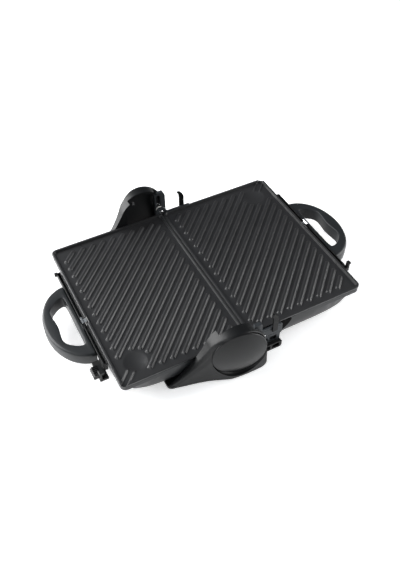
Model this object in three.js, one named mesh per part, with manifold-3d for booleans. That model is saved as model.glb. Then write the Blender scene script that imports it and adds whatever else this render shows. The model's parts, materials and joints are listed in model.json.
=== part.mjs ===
// Panini press that opens flat: a base half on two side arms, and a lid half laid back on the table.
// Millimetres, +Z up. The hinge line runs along Y at x = 0. The base half lies at x < 0 and the lid half at
// x > 0. The arms are at both ends of the hinge, near (y < 0) and far (y > 0). The table is z = 0.
import * as THREE from "three";
import { mergeVertices } from "three/addons/utils/BufferGeometryUtils.js";
import Module from "manifold-3d";

const wasm = await Module();
wasm.setup();

// ---------- driving dimensions ----------

const GAP = 0.3; // between pieces that touch
const HINGE_Z = 48.3; // height of the hinge axis
const FLOAT_TRAVEL = 25; // how far the hinge pins rise in their guides

const PLATE = {
  rear: -0.4, front: -195.5, halfWidth: 145, corner: 9,
  top: 48, lipUnder: 45, floor: 44.4, bottom: 40, tuck: 3.9, rim: 6.4,
  ribPitch: 12.2, ribWidth: 5.2, ribTop: 47.2, ribMargin: 13, shortestRib: 14,
  dimple: [-161, -112], dimpleRadius: 16, dimpleClear: 22, dimpleDepth: 0.8,
};
const SHELL = {
  rear: -1.5, front: -195, halfWidth: 144.6, corner: 9, top: 44.6, skirt: 37, depth: 34, wall: 2.5,
  deepest: -60, sidePower: 13, frontPower: 5, rearPower: 8, roundness: 1 / 3,
};
const HANDLE = { root: -202.5, centre: -200, reach: 54, halfWidth: 72, bottom: 20, top: 42, edge: 2 };
const RAIL = { inner: -196.2, outer: -202.2, halfWidth: 98, bottom: 33, top: 45, groove: 38 };
const CLIP = { y: -13, width: 12, nose: 7, recess: 10 };
const LATCH = {
  inner: -205.5, outer: -221, near: -108, far: -92, bottom: 35.4, top: 43, shelf: 31, shelfThick: 4,
  tongue: [-214, -210.5], lipEnd: -206.6, lipUnder: 46.6, lipTop: 49,
  grips: 4, gripPitch: 3, gripWidth: 1.5,
};
const CLAW = { inner: -202.5, outer: -206, nose: -208.2, y: 99, width: 6, under: 50.6, top: 53 };
const ARM = {
  inner: 145.4, discX: -31, discZ: 52, discRadius: 43, rear: 13.5, tail: -130, bottom: 1.5,
  channelX: -54.5, channelY: 155.6, guideY: 162.2, floorZ: 14, wall: 3.5, heel: 10, footTop: 6.6,
};
const CAP = { x: -30, z: 53, radius: 40, rim: 2, height: 10, y: 169.7, tilt: 0.166 };
const BRACKET = {
  inner: 146.2, outer: 149.2, boss: 9.5, bore: 3.8,
  windows: [[20, 30], [34, 45]], windowLow: 14.5, windowHigh: 24, spacers: [[22, 33], [44, 33]], spacerRadius: 4,
};
const GUIDE = { inner: 156, outer: 161.7, left: -6.3, right: 12.5, bottom: 22, top: 82, slot: 3.8 };
const PIN = { radius: 3.4, inner: 145.7, outer: 164, head: 5.2, headLength: 2.5 };
const FOOT = { inner: 149.5, outer: 155, left: 18, right: 52, top: 13 };
const INLET = { y: 169, z: 20, start: 14.3, flange: 8.5, sleeve: 6, bore: 3.6 };
const THERMOSTAT = { x: -90, y: 40, radius: 8, height: 7, tabs: 12 };
const FUSE = { x: -62, y: -50, length: 24, radius: 3.4, leads: 40 };
const TERMINALS = { x0: -58, x1: -34, y0: 60, y1: 84, height: 10, bores: [66, 72, 78] };

// ---------- materials ----------

function finish(color, roughness, metalness = 0) {
  return new THREE.MeshStandardMaterial({ color, roughness, metalness });
}
const MATERIALS = {
  satinBlack: () => finish("#2b2c2e", 0.42),
  handleBlack: () => finish("#303234", 0.5),
  nonStick: () => finish("#3a3a3c", 0.38, 0.2),
  rubber: () => finish("#1a1a1b", 0.85),
  steel: () => finish("#c9cbcd", 0.28, 1),
  blackSteel: () => finish("#3d4043", 0.45, 0.6),
  aluminised: () => finish("#b4b6b8", 0.5, 1),
  element: () => finish("#5c5a57", 0.5, 0.9),
  ceramic: () => finish("#ded9cd", 0.6),
  redLens: () => finish("#8a1515", 0.2),
  greenLens: () => finish("#17702b", 0.2),
};

// ---------- geometry helpers ----------

// Closed three.js geometry to a solid that can be joined and cut.
function solid(geometry) {
  const bare = geometry.clone();
  bare.deleteAttribute("normal");
  bare.deleteAttribute("uv");
  const merged = mergeVertices(bare, 1e-3);
  const mesh = new wasm.Mesh({
    numProp: 3,
    vertProperties: merged.attributes.position.array,
    triVerts: new Uint32Array(merged.index.array),
  });
  return new wasm.Manifold(mesh);
}

function geometryOf(body) {
  const mesh = body.getMesh();
  const geometry = new THREE.BufferGeometry();
  geometry.setAttribute("position", new THREE.BufferAttribute(mesh.vertProperties, 3));
  geometry.setIndex(new THREE.BufferAttribute(mesh.triVerts, 1));
  const flat = geometry.toNonIndexed();
  flat.computeVertexNormals();
  return flat;
}

function join(...bodies) {
  return bodies.reduce((sum, body) => sum.add(body));
}

function box(x0, x1, y0, y1, z0, z1) {
  const geometry = new THREE.BoxGeometry(x1 - x0, y1 - y0, z1 - z0);
  return solid(geometry.translate((x0 + x1) / 2, (y0 + y1) / 2, (z0 + z1) / 2));
}

function shapeOf(points) {
  return new THREE.Shape(points.map(([a, b]) => new THREE.Vector2(a, b)));
}

// Outline in X and Y, raised from z0 to z1.
function raised(shape, z0, z1, curveSegments = 8) {
  const settings = { depth: z1 - z0, bevelEnabled: false, curveSegments };
  return solid(new THREE.ExtrudeGeometry(shape, settings).translate(0, 0, z0));
}

// Outline in X and Z, carried along Y from y0 to y1.
function carried(shape, y0, y1, curveSegments = 8) {
  const settings = { depth: y1 - y0, bevelEnabled: false, curveSegments };
  return solid(new THREE.ExtrudeGeometry(shape, settings).rotateX(Math.PI / 2).translate(0, y1, 0));
}

function rodAlongY(x, z, radius, y0, y1, segments = 20) {
  const geometry = new THREE.CylinderGeometry(radius, radius, y1 - y0, segments);
  return solid(geometry.translate(x, (y0 + y1) / 2, z));
}

function rodAlongX(y, z, radius, x0, x1, segments = 20) {
  const geometry = new THREE.CylinderGeometry(radius, radius, x1 - x0, segments).rotateZ(Math.PI / 2);
  return solid(geometry.translate((x0 + x1) / 2, y, z));
}

function post(x, y, radius, z0, z1, segments = 16) {
  const geometry = new THREE.CylinderGeometry(radius, radius, z1 - z0, segments).rotateX(Math.PI / 2);
  return solid(geometry.translate(x, y, (z0 + z1) / 2));
}

function roundedRectangle(x0, x1, y0, y1, r) {
  const shape = new THREE.Shape();
  shape.moveTo(x0 + r, y0);
  shape.lineTo(x1 - r, y0);
  shape.absarc(x1 - r, y0 + r, r, -Math.PI / 2, 0);
  shape.lineTo(x1, y1 - r);
  shape.absarc(x1 - r, y1 - r, r, 0, Math.PI / 2);
  shape.lineTo(x0 + r, y1);
  shape.absarc(x0 + r, y1 - r, r, Math.PI / 2, Math.PI);
  shape.lineTo(x0, y0 + r);
  shape.absarc(x0 + r, y0 + r, r, Math.PI, Math.PI * 1.5);
  return shape;
}

// ---------- shells ----------

// Height of the domed outer skin under the plan point (x, y), pushed in by inset.
function skinHeight(x, y, inset) {
  const width = SHELL.halfWidth - inset;
  const front = SHELL.deepest - (SHELL.front + inset);
  const rear = SHELL.rear - inset - SHELL.deepest;
  const side = Math.pow(Math.min(1, Math.abs(y) / width), SHELL.sidePower);
  const along = x < SHELL.deepest
    ? Math.pow(Math.min(1, (SHELL.deepest - x) / front), SHELL.frontPower)
    : Math.pow(Math.min(1, (x - SHELL.deepest) / rear), SHELL.rearPower);
  const rest = Math.max(0, 1 - side - along);
  return SHELL.skirt + inset - SHELL.depth * Math.pow(rest, SHELL.roundness);
}

// Plan outline of the shell as points, with its long sides divided so that the dome can bend.
function shellOutline(inset) {
  const x0 = SHELL.front + inset;
  const x1 = SHELL.rear - inset;
  const y1 = SHELL.halfWidth - inset;
  const r = SHELL.corner - inset;
  const points = [];
  const corners = [
    [x1 - r, -y1 + r, -90], [x1 - r, y1 - r, 0], [x0 + r, y1 - r, 90], [x0 + r, -y1 + r, 180],
  ];
  corners.forEach(([cx, cy, start], side) => {
    for (let k = 0; k <= 3; k++) {
      const angle = THREE.MathUtils.degToRad(start + 30 * k);
      points.push([cx + r * Math.cos(angle), cy + r * Math.sin(angle)]);
    }
    const [nx, ny, next] = corners[(side + 1) % 4];
    const from = points[points.length - 1];
    const turn = THREE.MathUtils.degToRad(next);
    const to = [nx + r * Math.cos(turn), ny + r * Math.sin(turn)];
    const divisions = 6;
    for (let k = 1; k < divisions; k++) {
      points.push([from[0] + (to[0] - from[0]) * k / divisions, from[1] + (to[1] - from[1]) * k / divisions]);
    }
  });
  return points;
}

// An open tub: outer skin down to its pole, inner skin back up, joined round the top edge.
function tub() {
  const steps = [1, 0.992, 0.97, 0.92, 0.82, 0.6];
  const middle = [(SHELL.front + SHELL.rear) / 2, 0];
  const rings = [];
  const ringAt = (inset, step, top) => shellOutline(inset).map(([px, py]) => {
    const x = middle[0] + (px - middle[0]) * step;
    const y = middle[1] + (py - middle[1]) * step;
    return [x, y, top === undefined ? skinHeight(x, y, inset) : top];
  });
  steps.slice().reverse().forEach((step) => rings.push(ringAt(0, step)));
  rings.push(ringAt(0, 1, SHELL.top));
  rings.push(ringAt(SHELL.wall, 1, SHELL.top));
  steps.forEach((step) => rings.push(ringAt(SHELL.wall, step)));
  const n = rings[0].length;
  const positions = rings.flat(2);
  positions.push(...middle, skinHeight(...middle, 0), ...middle, skinHeight(...middle, SHELL.wall));
  const poleOut = rings.length * n;
  const poleIn = poleOut + 1;
  const last = (rings.length - 1) * n;
  const index = [];
  for (let k = 0; k < n; k++) {
    const next = (k + 1) % n;
    index.push(poleOut, next, k);
    index.push(poleIn, last + k, last + next);
    for (let r = 0; r < rings.length - 1; r++) {
      const a = r * n;
      const b = a + n;
      index.push(a + k, a + next, b + next, a + k, b + next, b + k);
    }
  }
  const geometry = new THREE.BufferGeometry();
  geometry.setAttribute("position", new THREE.BufferAttribute(new Float32Array(positions), 3));
  geometry.setIndex(index);
  return solid(geometry);
}

const REFLECTOR = { front: -158, rear: -16, halfWidth: 126, bottom: 29, top: 37, sheet: 1 };

function shell() {
  const posts = [[-40, 100], [-40, -100], [-140, 100], [-140, -100]];
  const legs = posts.map(([x, y]) => post(x, y, 4.5, skinHeight(x, y, 1), REFLECTOR.bottom - GAP));
  return join(tub(), ...legs);
}

function reflector() {
  const { front, rear, halfWidth, bottom, top, sheet } = REFLECTOR;
  const outer = raised(roundedRectangle(front, rear, -halfWidth, halfWidth, 10), bottom, top, 4);
  const hollow = roundedRectangle(front + sheet, rear - sheet, -halfWidth + sheet, halfWidth - sheet, 9);
  return outer.subtract(raised(hollow, bottom + sheet, top + 1, 4));
}

// Tubular heating element: two long loops under the plate, its ends turned down through the reflector's rear.
function heater() {
  const z = 35.2;
  const loops = [
    [-28, 60], [-28, 95], [-52, 108], [-60, 40], [-60, -70], [-85, -104], [-110, -70], [-110, 70],
    [-128, 100], [-146, 70], [-146, -70], [-138, -108], [-70, -112], [-30, -104], [-28, -60],
  ];
  const points = loops.map(([x, y]) => new THREE.Vector3(x, y, z));
  const path = new THREE.CatmullRomCurve3(points, false, "centripetal");
  const section = new THREE.Shape().absarc(0, 0, 3.2, 0, Math.PI * 2);
  return solid(new THREE.ExtrudeGeometry(section, {
    extrudePath: path, steps: 48, curveSegments: 4, bevelEnabled: false,
  }));
}

// ---------- plates ----------

// The stretch of a diagonal rib inside the ribbed field, cut where it would run into the drain dimple.
function ribStretches(offset) {
  const { front, rear, halfWidth, ribMargin, dimple, dimpleClear } = PLATE;
  const x0 = front + ribMargin;
  const x1 = rear - ribMargin;
  const y1 = halfWidth - ribMargin;
  const shift = offset * Math.SQRT2; // the rib runs along y = x + shift
  const from = Math.max(x0, -y1 - shift);
  const to = Math.min(x1, y1 - shift);
  const half = (dimple[0] + dimple[1] - shift) / 2;
  const away = Math.abs(dimple[1] - dimple[0] - shift) / Math.SQRT2;
  let stretches = [[from, to]];
  if (away < dimpleClear) {
    const reach = Math.sqrt(dimpleClear ** 2 - away ** 2) / Math.SQRT2;
    stretches = [[from, Math.min(to, half - reach)], [Math.max(from, half + reach), to]];
  }
  return stretches.filter(([a, b]) => (b - a) * Math.SQRT2 > PLATE.shortestRib).map(([a, b]) => [a, b, shift]);
}

function rib([a, b, shift]) {
  const r = PLATE.ribWidth / 2;
  const length = (b - a) * Math.SQRT2 - 2 * r;
  const shape = new THREE.Shape();
  shape.absarc(length / 2, 0, r, -Math.PI / 2, Math.PI / 2);
  shape.absarc(-length / 2, 0, r, Math.PI / 2, Math.PI * 1.5);
  const geometry = new THREE.ExtrudeGeometry(shape, {
    depth: PLATE.ribTop - PLATE.floor + 0.5, bevelEnabled: false, curveSegments: 4,
  });
  const x = (a + b) / 2;
  return solid(geometry.rotateZ(Math.PI / 4).translate(x, x + shift, PLATE.floor - 0.5));
}

function plate() {
  const { rear, front, halfWidth, corner, top, lipUnder, floor, bottom, tuck, rim, ribPitch } = PLATE;
  const outline = (inset, z0, z1) => raised(
    roundedRectangle(front + inset, rear - inset, -halfWidth + inset, halfWidth - inset, corner - inset), z0, z1, 4);
  let body = outline(0, lipUnder, top).add(outline(tuck, bottom, lipUnder + 1));
  body = body.subtract(outline(rim, floor, top + 1));
  for (let k = -13; k <= 27; k++) {
    ribStretches(k * ribPitch).forEach((stretch) => {
      body = body.add(rib(stretch));
    });
  }
  const [dx, dy] = PLATE.dimple;
  body = body.subtract(post(dx, dy, PLATE.dimpleRadius, floor - PLATE.dimpleDepth, floor + 1, 28));
  const clipHalf = CLIP.recess / 2;
  const clipRecess = box(front - 1, front + 2.2, CLIP.y - clipHalf, CLIP.y + clipHalf, top - 1.5, top + 1);
  const spout = new THREE.BoxGeometry(24, 11, 4).rotateZ(Math.PI / 4);
  return body.subtract(clipRecess).subtract(solid(spout.translate(front + 3, -halfWidth + 3, top - 0.6)));
}

// ---------- front of each half ----------

function handle() {
  const { root, centre, reach, halfWidth, bottom, top, edge } = HANDLE;
  const lean = Math.asin((centre - root) / reach);
  const shape = new THREE.Shape();
  shape.absellipse(centre, 0, reach, halfWidth, Math.PI / 2 + lean, Math.PI * 1.5 - lean, false, 0);
  shape.closePath();
  const grip = [
    [-209, -40], [-213, -48.5], [-226, -41], [-237, -27], [-236, 0], [-237, 27], [-226, 41], [-213, 48.5],
    [-209, 40], [-209, 0],
  ];
  const hole = new THREE.Path();
  const gripPoints = grip.map(([x, y]) => new THREE.Vector3(x, y, 0));
  const loop = new THREE.CatmullRomCurve3(gripPoints, true, "centripetal");
  hole.setFromPoints(loop.getSpacedPoints(28).slice(0, 28).map((p) => new THREE.Vector2(p.x, p.y)));
  shape.holes.push(hole);
  const geometry = new THREE.ExtrudeGeometry(shape, {
    depth: top - bottom - 2 * edge, curveSegments: 20,
    bevelSize: edge, bevelThickness: edge, bevelOffset: -edge, bevelSegments: 2,
  });
  return solid(geometry.translate(0, 0, bottom + edge));
}

// Black channel between the plate's front edge and the handle, with a spur at one end.
function rail() {
  const { inner, outer, halfWidth, bottom, top, groove } = RAIL;
  let body = box(outer, inner, -halfWidth, halfWidth, bottom, top);
  body = body.subtract(box(outer + 2, inner - 2, -halfWidth + 6, halfWidth - 6, groove, top + 1));
  body = body.subtract(box(outer - 1, inner + 1, CLIP.y - 7.5, CLIP.y + 7.5, 36, top + 1));
  return body.add(box(outer - 4, outer + 1, halfWidth - 3, halfWidth, top - 3, top + 2));
}

function baseRail() {
  const { outer, near, shelf, shelfThick } = LATCH;
  return rail().add(box(outer - 1, RAIL.outer + 1, near - 4, -HANDLE.halfWidth - 6, shelf, shelf + shelfThick));
}

// The lid's rail carries the claw that the storage latch catches when the press is shut.
function lidRail() {
  const { inner, outer, nose, y, width, under, top } = CLAW;
  const low = y - width / 2;
  const high = y + width / 2;
  const stem = box(outer, inner, low, high, RAIL.bottom + 3, top);
  const root = box(inner - 1, RAIL.inner, low - 6, high, RAIL.bottom + 3, RAIL.top - 2);
  const withoutSpur = rail().subtract(box(-215, -190, RAIL.halfWidth - 4, 110, 30, 60));
  return join(withoutSpur, root, stem, box(nose, outer + 1, low, high, under, top));
}

function storageLatch() {
  const { inner, outer, near, far, bottom, top, tongue, lipEnd, lipUnder, lipTop } = LATCH;
  const [front, rear] = tongue;
  const body = box(outer, inner, near, far, bottom, top);
  const side = box(front, rear, near - 4, near, bottom, top);
  const upright = box(front, rear, near - 4, near + 3, top - 1, lipTop);
  const lip = box(rear - 0.5, lipEnd, near - 4, near + 3, lipUnder, lipTop);
  const grips = [];
  for (let k = 0; k < LATCH.grips; k++) {
    const start = near + 5.5 + LATCH.gripPitch * k;
    grips.push(box(outer, rear, start, start + LATCH.gripWidth, top - 1, top + 1.2));
  }
  return join(body, side, upright, lip, ...grips);
}

// Spring-steel clip that holds the removable plate down by its recess.
function plateClip() {
  const profile = [
    [-198.4, 36.4], [-198.4, 46.9], [-194.2, 46.9], [-194.2, 48], [-198.4, 48], [-198.4, 50.2],
    [-202.8, 50.2], [-202.8, 49], [-199.6, 49], [-199.6, 36.4],
  ];
  const half = CLIP.width / 2;
  const sides = box(-198.39, -190, -half - 1, -CLIP.nose / 2, 40, 49)
    .add(box(-198.39, -190, CLIP.nose / 2, half + 1, 40, 49));
  return carried(shapeOf(profile), -half, half).subtract(sides);
}

// ---------- side arms ----------

// Side view of an arm: flat underside, rounded heel, a disc over the hinge and a swooping tail.
function armProfile() {
  const { discX, discZ, discRadius, rear, tail, bottom, heel } = ARM;
  const shape = new THREE.Shape();
  shape.moveTo(tail, bottom);
  shape.lineTo(rear - heel, bottom);
  shape.absarc(rear - heel, bottom + heel, heel, -Math.PI / 2, 0, false);
  shape.absarc(discX, discZ, discRadius, 0, Math.PI * 0.86, false);
  shape.bezierCurveTo(-77, 58, -84, 46, -96, 34);
  shape.bezierCurveTo(-106, 24, -118, 14, tail, 8);
  return shape;
}

// The same view of the hollow inside the arm, a wall's thickness in, open towards the plates.
function pocketProfile() {
  const { discX, discZ, discRadius, rear, bottom, wall } = ARM;
  const shape = new THREE.Shape();
  shape.moveTo(-62, bottom + wall);
  shape.lineTo(rear - 9, bottom + wall);
  shape.lineTo(rear - wall, bottom + 10);
  shape.absarc(discX, discZ, discRadius - wall, 0, Math.PI * 0.78, false);
  return shape;
}

// Plan of an arm: the outer face flares from the tail to the hinge.
const ARM_FLARE = [
  [-117, 151.3], [-86, 158.5], [-72, 162.5], [-57, 168.5], [-43, 174], [-28, 175.6], [20, 176],
];

function armPlan() {
  return shapeOf([[ARM.tail, ARM.inner], ...ARM_FLARE, [20, ARM.inner]].map(([x, y]) => [x, -y]));
}

// A tilted disc on the arm's outer face, where the round cap sits.
function capDisc(radius, from, to, segments) {
  const geometry = new THREE.CylinderGeometry(radius, radius, to - from, segments);
  return solid(placeCap(geometry.translate(0, -(from + to) / 2, 0)));
}

function placeCap(geometry) {
  return geometry.rotateZ(-CAP.tilt).translate(CAP.x, -CAP.y, CAP.z);
}

function armCover() {
  const { channelX, channelY, guideY, floorZ } = ARM;
  const plan = raised(armPlan(), 0, 110);
  let body = carried(armProfile(), -200, -100, 14).intersect(plan);
  const tailFoot = shapeOf([[-130, -130.5], [-66, -140], [-66, -147], [-112, -150], [-130, -144.5]]);
  body = body.add(raised(tailFoot, ARM.bottom, ARM.footTop));
  const pocketPlan = shapeOf([[-62, -140], [-62, -159], [9.5, -170.5], [9.5, -140]]);
  const pocket = carried(pocketProfile(), -200, -100, 14).intersect(raised(pocketPlan, 4.5, 110));
  body = body.subtract(pocket);
  body = body.subtract(box(channelX, 30, -channelY, -140, floorZ, 110));
  body = body.subtract(box(GUIDE.left - GAP, 30, -guideY, -140, GUIDE.bottom - 2, 110));
  const headRoom = PIN.outer + PIN.headLength + 1;
  body = body.subtract(box(-PIN.head - 1, 30, -headRoom, -guideY, HINGE_Z - PIN.head - 1, 110));
  return body.subtract(capDisc(CAP.radius + 0.6, 0, 12, 32));
}

function armCap() {
  const { radius, rim, height } = CAP;
  const bow = height - rim;
  const sphere = (radius ** 2 + bow ** 2) / (2 * bow);
  const half = Math.asin(radius / sphere);
  const profile = [new THREE.Vector2(0, GAP), new THREE.Vector2(radius, GAP)];
  const steps = 5;
  for (let k = 0; k <= steps; k++) {
    const angle = half * (1 - k / steps);
    const r = k === steps ? 0 : sphere * Math.sin(angle);
    profile.push(new THREE.Vector2(r, height - sphere + sphere * Math.cos(angle)));
  }
  return solid(placeCap(new THREE.LatheGeometry(profile, 32).rotateX(Math.PI)));
}

// Upright slotted guide behind the arm's roof; the hinge pin rises in its slot.
function hingeGuide() {
  const { inner, outer, left, right, bottom, top, slot } = GUIDE;
  const body = box(left, right, -outer, -inner, bottom, top);
  const slotTop = HINGE_Z + FLOAT_TRAVEL;
  const low = rodAlongY(0, HINGE_Z, slot, -outer - 1, -inner + 1);
  const high = rodAlongY(0, slotTop, slot, -outer - 1, -inner + 1);
  const middle = box(-slot, slot, -outer - 1, -inner + 1, HINGE_Z, slotTop);
  const shoulder = box(left - 1, -2, -outer - 1, -inner + 1, top - 4, top + 1);
  return body.subtract(join(low, high, middle)).subtract(shoulder);
}

function hingePin() {
  const { radius, inner, outer, head, headLength } = PIN;
  const pinHead = rodAlongY(0, HINGE_Z, head, -outer - headLength, -outer);
  return join(rodAlongY(0, HINGE_Z, radius, -outer, -inner), pinHead);
}

function pinBush() {
  const outer = rodAlongY(0, HINGE_Z, 6, -GUIDE.inner + GAP, -BRACKET.outer - GAP);
  return outer.subtract(rodAlongY(0, HINGE_Z, PIN.radius + GAP, -170, -140));
}

function coverScrew() {
  const profile = [[0, 0], [2.2, 0], [2.2, 5], [4, 5], [4, 6.2], [2.4, 7.4], [0, 7.4]];
  const screw = new THREE.LatheGeometry(profile.map(([r, h]) => new THREE.Vector2(r, h)), 18);
  return solid(screw.translate(-43, -160.3, 73));
}

function armFoot(x, y) {
  return post(x, y, 6, 0, ARM.bottom - GAP, 20);
}

// ---------- lid hardware ----------

function lidBracket() {
  const { inner, outer, boss, bore, windowLow, windowHigh, spacerRadius } = BRACKET;
  const outline = [
    [2, 56], [10, 46.4], [52, 46.4], [54, 43], [54, 27], [51, 24],
    [51, 13], [46, 8], [18, 8], [7, 34], [-2, 40],
  ];
  let body = carried(shapeOf(outline), -outer, -inner).add(rodAlongY(0, HINGE_Z, boss, -outer, -inner, 28));
  body = body.subtract(rodAlongY(0, HINGE_Z, bore, -170, -140));
  BRACKET.windows.forEach(([x0, x1]) => {
    body = body.subtract(box(x0, x1, -150, -145, windowLow, windowHigh));
  });
  const spacers = BRACKET.spacers.map(([x, z]) => rodAlongY(x, z, spacerRadius, -inner - 0.5, -145));
  return join(body, ...spacers);
}

// Upright claw whose bent tip points at the hinge; it drops into the arm when the press is shut.
function lidHook() {
  const outline = [[35.5, 38], [44, 38], [44, 64], [37.5, 75.5], [33.5, 76.5], [32.6, 73.6], [35.5, 70]];
  return carried(shapeOf(outline), -152.3, -FOOT.inner);
}

function lidFoot() {
  const { inner, outer, left, right, top } = FOOT;
  const body = box(left, right, -outer, -inner, 0, top);
  const pockets = box(left + 3, left + 14, -outer - 1, -inner - 1.5, 3, top - 2)
    .add(box(left + 18, right - 4, -outer - 1, -inner - 1.5, 3, top - 2));
  return body.subtract(pockets);
}

function bracketScrew() {
  const profile = [[0, 0], [3.4, 0], [3.4, 0.8], [2.2, 1.8], [0, 1.8]];
  const geometry = new THREE.LatheGeometry(profile.map(([r, h]) => new THREE.Vector2(r, h)), 16);
  return solid(geometry.rotateX(Math.PI).translate(BRACKET.spacers[0][0], -BRACKET.outer - GAP, BRACKET.spacers[0][1]));
}

// ---------- parts inside and under the halves ----------

function thermostat() {
  const { x, y, radius, height, tabs } = THERMOSTAT;
  const top = REFLECTOR.bottom - GAP;
  const flange = box(x - tabs, x + tabs, y - 3, y + 3, top - height - 2, top - height + 0.5);
  return join(post(x, y, radius, top - height, top, 20), flange);
}

function thermalFuse() {
  const { x, y, length, radius, leads } = FUSE;
  const z = REFLECTOR.bottom - GAP - radius - 0.1;
  const body = rodAlongY(x, z, radius, y - length / 2, y + length / 2, 14);
  return join(body, rodAlongY(x, z, 1, y - leads / 2, y + leads / 2, 8));
}

function terminalBlock() {
  const { x0, x1, y0, y1, height, bores } = TERMINALS;
  const z = REFLECTOR.bottom - GAP;
  let body = box(x0, x1, y0, y1, z - height, z);
  bores.forEach((y) => {
    body = body.subtract(rodAlongX(y, z - height / 2, 1.6, x0 - 2, x1 + 4, 10));
  });
  return body;
}

// A pad from the table up to the lowest skin over it.
function underFoot(x, y, radius) {
  const lowest = skinHeight(x + radius, Math.abs(y) - radius, 0);
  return post(x, y, radius, 0, lowest - GAP, 24);
}

function lampLens(x, y) {
  const skin = skinHeight(x, y, 0);
  return post(x, y, 3.2, skin - 1.6, skin - GAP, 16);
}

function cordInlet() {
  const { y, z, start, flange, sleeve, bore } = INLET;
  const collar = rodAlongX(y, z, flange, start - 0.5, start + 2.5, 24);
  const body = join(collar, rodAlongX(y, z, sleeve, start, start + 9, 20));
  return body.subtract(rodAlongX(y, z, bore, start - 2, start + 12, 16));
}

// ---------- assembly ----------

const press = new THREE.Group();
press.name = "panini_press";
const lidHalf = new THREE.Group();
lidHalf.rotation.z = Math.PI; // the lid half is the base half turned about the vertical
press.add(lidHalf);

function put(name, shape, material, parent = press) {
  const mesh = new THREE.Mesh(geometryOf(shape), material());
  mesh.name = name;
  parent.add(mesh);
  return mesh;
}

// The near piece as made, and its mirror image at the far side.
function putPair(name, shape, material) {
  put("near_" + name, shape, material);
  put("far_" + name, shape, material).scale.y = -1;
}

const m = MATERIALS;
const halves = [["base", press], ["lid", lidHalf]];
const shellSolid = shell();
const plateSolid = plate();
const clipSolid = plateClip();
for (const [half, parent] of halves) {
  put(half + "_shell", shellSolid, m.satinBlack, parent);
  put(half + "_plate", plateSolid, m.nonStick, parent);
  put(half + "_reflector", reflector(), m.aluminised, parent);
  put(half + "_heater", heater(), m.element, parent);
  put(half + "_thermal_fuse", thermalFuse(), m.ceramic, parent);
  put(half + "_terminal_block", terminalBlock(), m.ceramic, parent);
  put(half + "_handle", handle(), m.handleBlack, parent);
  put(half + "_plate_clip", clipSolid, m.steel, parent).position.y = CLIP.y;
}
put("base_thermostat", thermostat(), m.aluminised);
put("base_rail", baseRail(), m.satinBlack);
put("lid_rail", lidRail(), m.satinBlack, lidHalf);
put("storage_latch", storageLatch(), m.satinBlack);
put("near_base_foot", underFoot(-150, -95, 9), m.rubber);
put("far_base_foot", underFoot(-150, 95, 9), m.rubber);
put("near_lid_pad", underFoot(-120, 60, 8), m.rubber, lidHalf);
put("far_lid_pad", underFoot(-120, -60, 8), m.rubber, lidHalf);
put("power_lamp", lampLens(-140, -14), m.redLens, lidHalf);
put("ready_lamp", lampLens(-140, 14), m.greenLens, lidHalf);
put("cord_inlet", cordInlet(), m.rubber);

putPair("arm_cover", armCover(), m.satinBlack);
putPair("arm_cap", armCap(), m.satinBlack);
putPair("hinge_guide", hingeGuide(), m.blackSteel);
putPair("hinge_pin", hingePin(), m.steel);
putPair("pin_bush", pinBush(), m.ceramic);
putPair("cover_screw", coverScrew(), m.steel);
putPair("arm_front_foot", armFoot(-118, -139), m.rubber);
putPair("arm_rear_foot", armFoot(-6, -163), m.rubber);
putPair("lid_bracket", lidBracket(), m.blackSteel);
putPair("lid_hook", lidHook(), m.blackSteel);
putPair("lid_foot", lidFoot(), m.satinBlack);
putPair("bracket_screw", bracketScrew(), m.steel);

export default press;
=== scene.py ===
# %% [markdown]
# # A panini press that opens flat
#
# This lesson dresses a working press in its real surfaces. The press is two cast plates in two moulded
# shells, joined by side arms that stand on the table. Its frame (sizes, joints, where each part sits) is
# already fixed, so every piece here starts from the frame's boxes and only adds the finer shape and finish.
#
# Lengths in the cells are millimetres, because that is how such parts are drawn. They become metres once,
# where a mesh is made.

# %% Load the frame
import json
import math

import bmesh
import bpy
import numpy as np
from mathutils import Matrix, Vector


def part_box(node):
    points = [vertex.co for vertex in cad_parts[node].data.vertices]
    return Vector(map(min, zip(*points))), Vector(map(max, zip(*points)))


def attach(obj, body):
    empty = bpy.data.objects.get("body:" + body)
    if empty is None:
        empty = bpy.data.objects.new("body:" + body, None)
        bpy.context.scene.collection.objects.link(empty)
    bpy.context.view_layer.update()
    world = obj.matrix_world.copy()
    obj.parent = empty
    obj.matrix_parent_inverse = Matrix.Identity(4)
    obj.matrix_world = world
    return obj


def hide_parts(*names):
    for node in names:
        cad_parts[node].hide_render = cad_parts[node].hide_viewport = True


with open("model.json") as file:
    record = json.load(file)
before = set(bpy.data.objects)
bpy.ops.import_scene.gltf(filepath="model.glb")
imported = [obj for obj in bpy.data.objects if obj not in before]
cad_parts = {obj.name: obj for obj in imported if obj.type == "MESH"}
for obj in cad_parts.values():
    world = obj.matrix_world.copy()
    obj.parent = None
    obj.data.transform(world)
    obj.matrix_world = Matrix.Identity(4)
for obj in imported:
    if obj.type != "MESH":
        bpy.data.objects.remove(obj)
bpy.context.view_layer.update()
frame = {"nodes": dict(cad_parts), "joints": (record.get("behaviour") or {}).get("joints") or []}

MM = 0.001


def box_mm(node):
    """Lowest and highest corner of a frame node, in millimetres."""
    low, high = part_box(node)
    return np.array(low) / MM, np.array(high) / MM


# %% [markdown]
# ## Camera
#
# The view looks down on the opened press from the base's near corner, almost as a telephoto would. A
# perspective camera is placed by its aim point, two angles and a distance, because those are the numbers a
# photographer would set. The small roll is the tilt of a hand-held shot.

# %% Camera
AZIMUTH, ELEVATION, ROLL = map(math.radians, (-26.91, 47.79, -0.74))
DISTANCE = 1019.8
AIM = np.array([-11.3, -15.9, 30.5])
LENS_MM, SENSOR_MM = 41.64, 36.0

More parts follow.
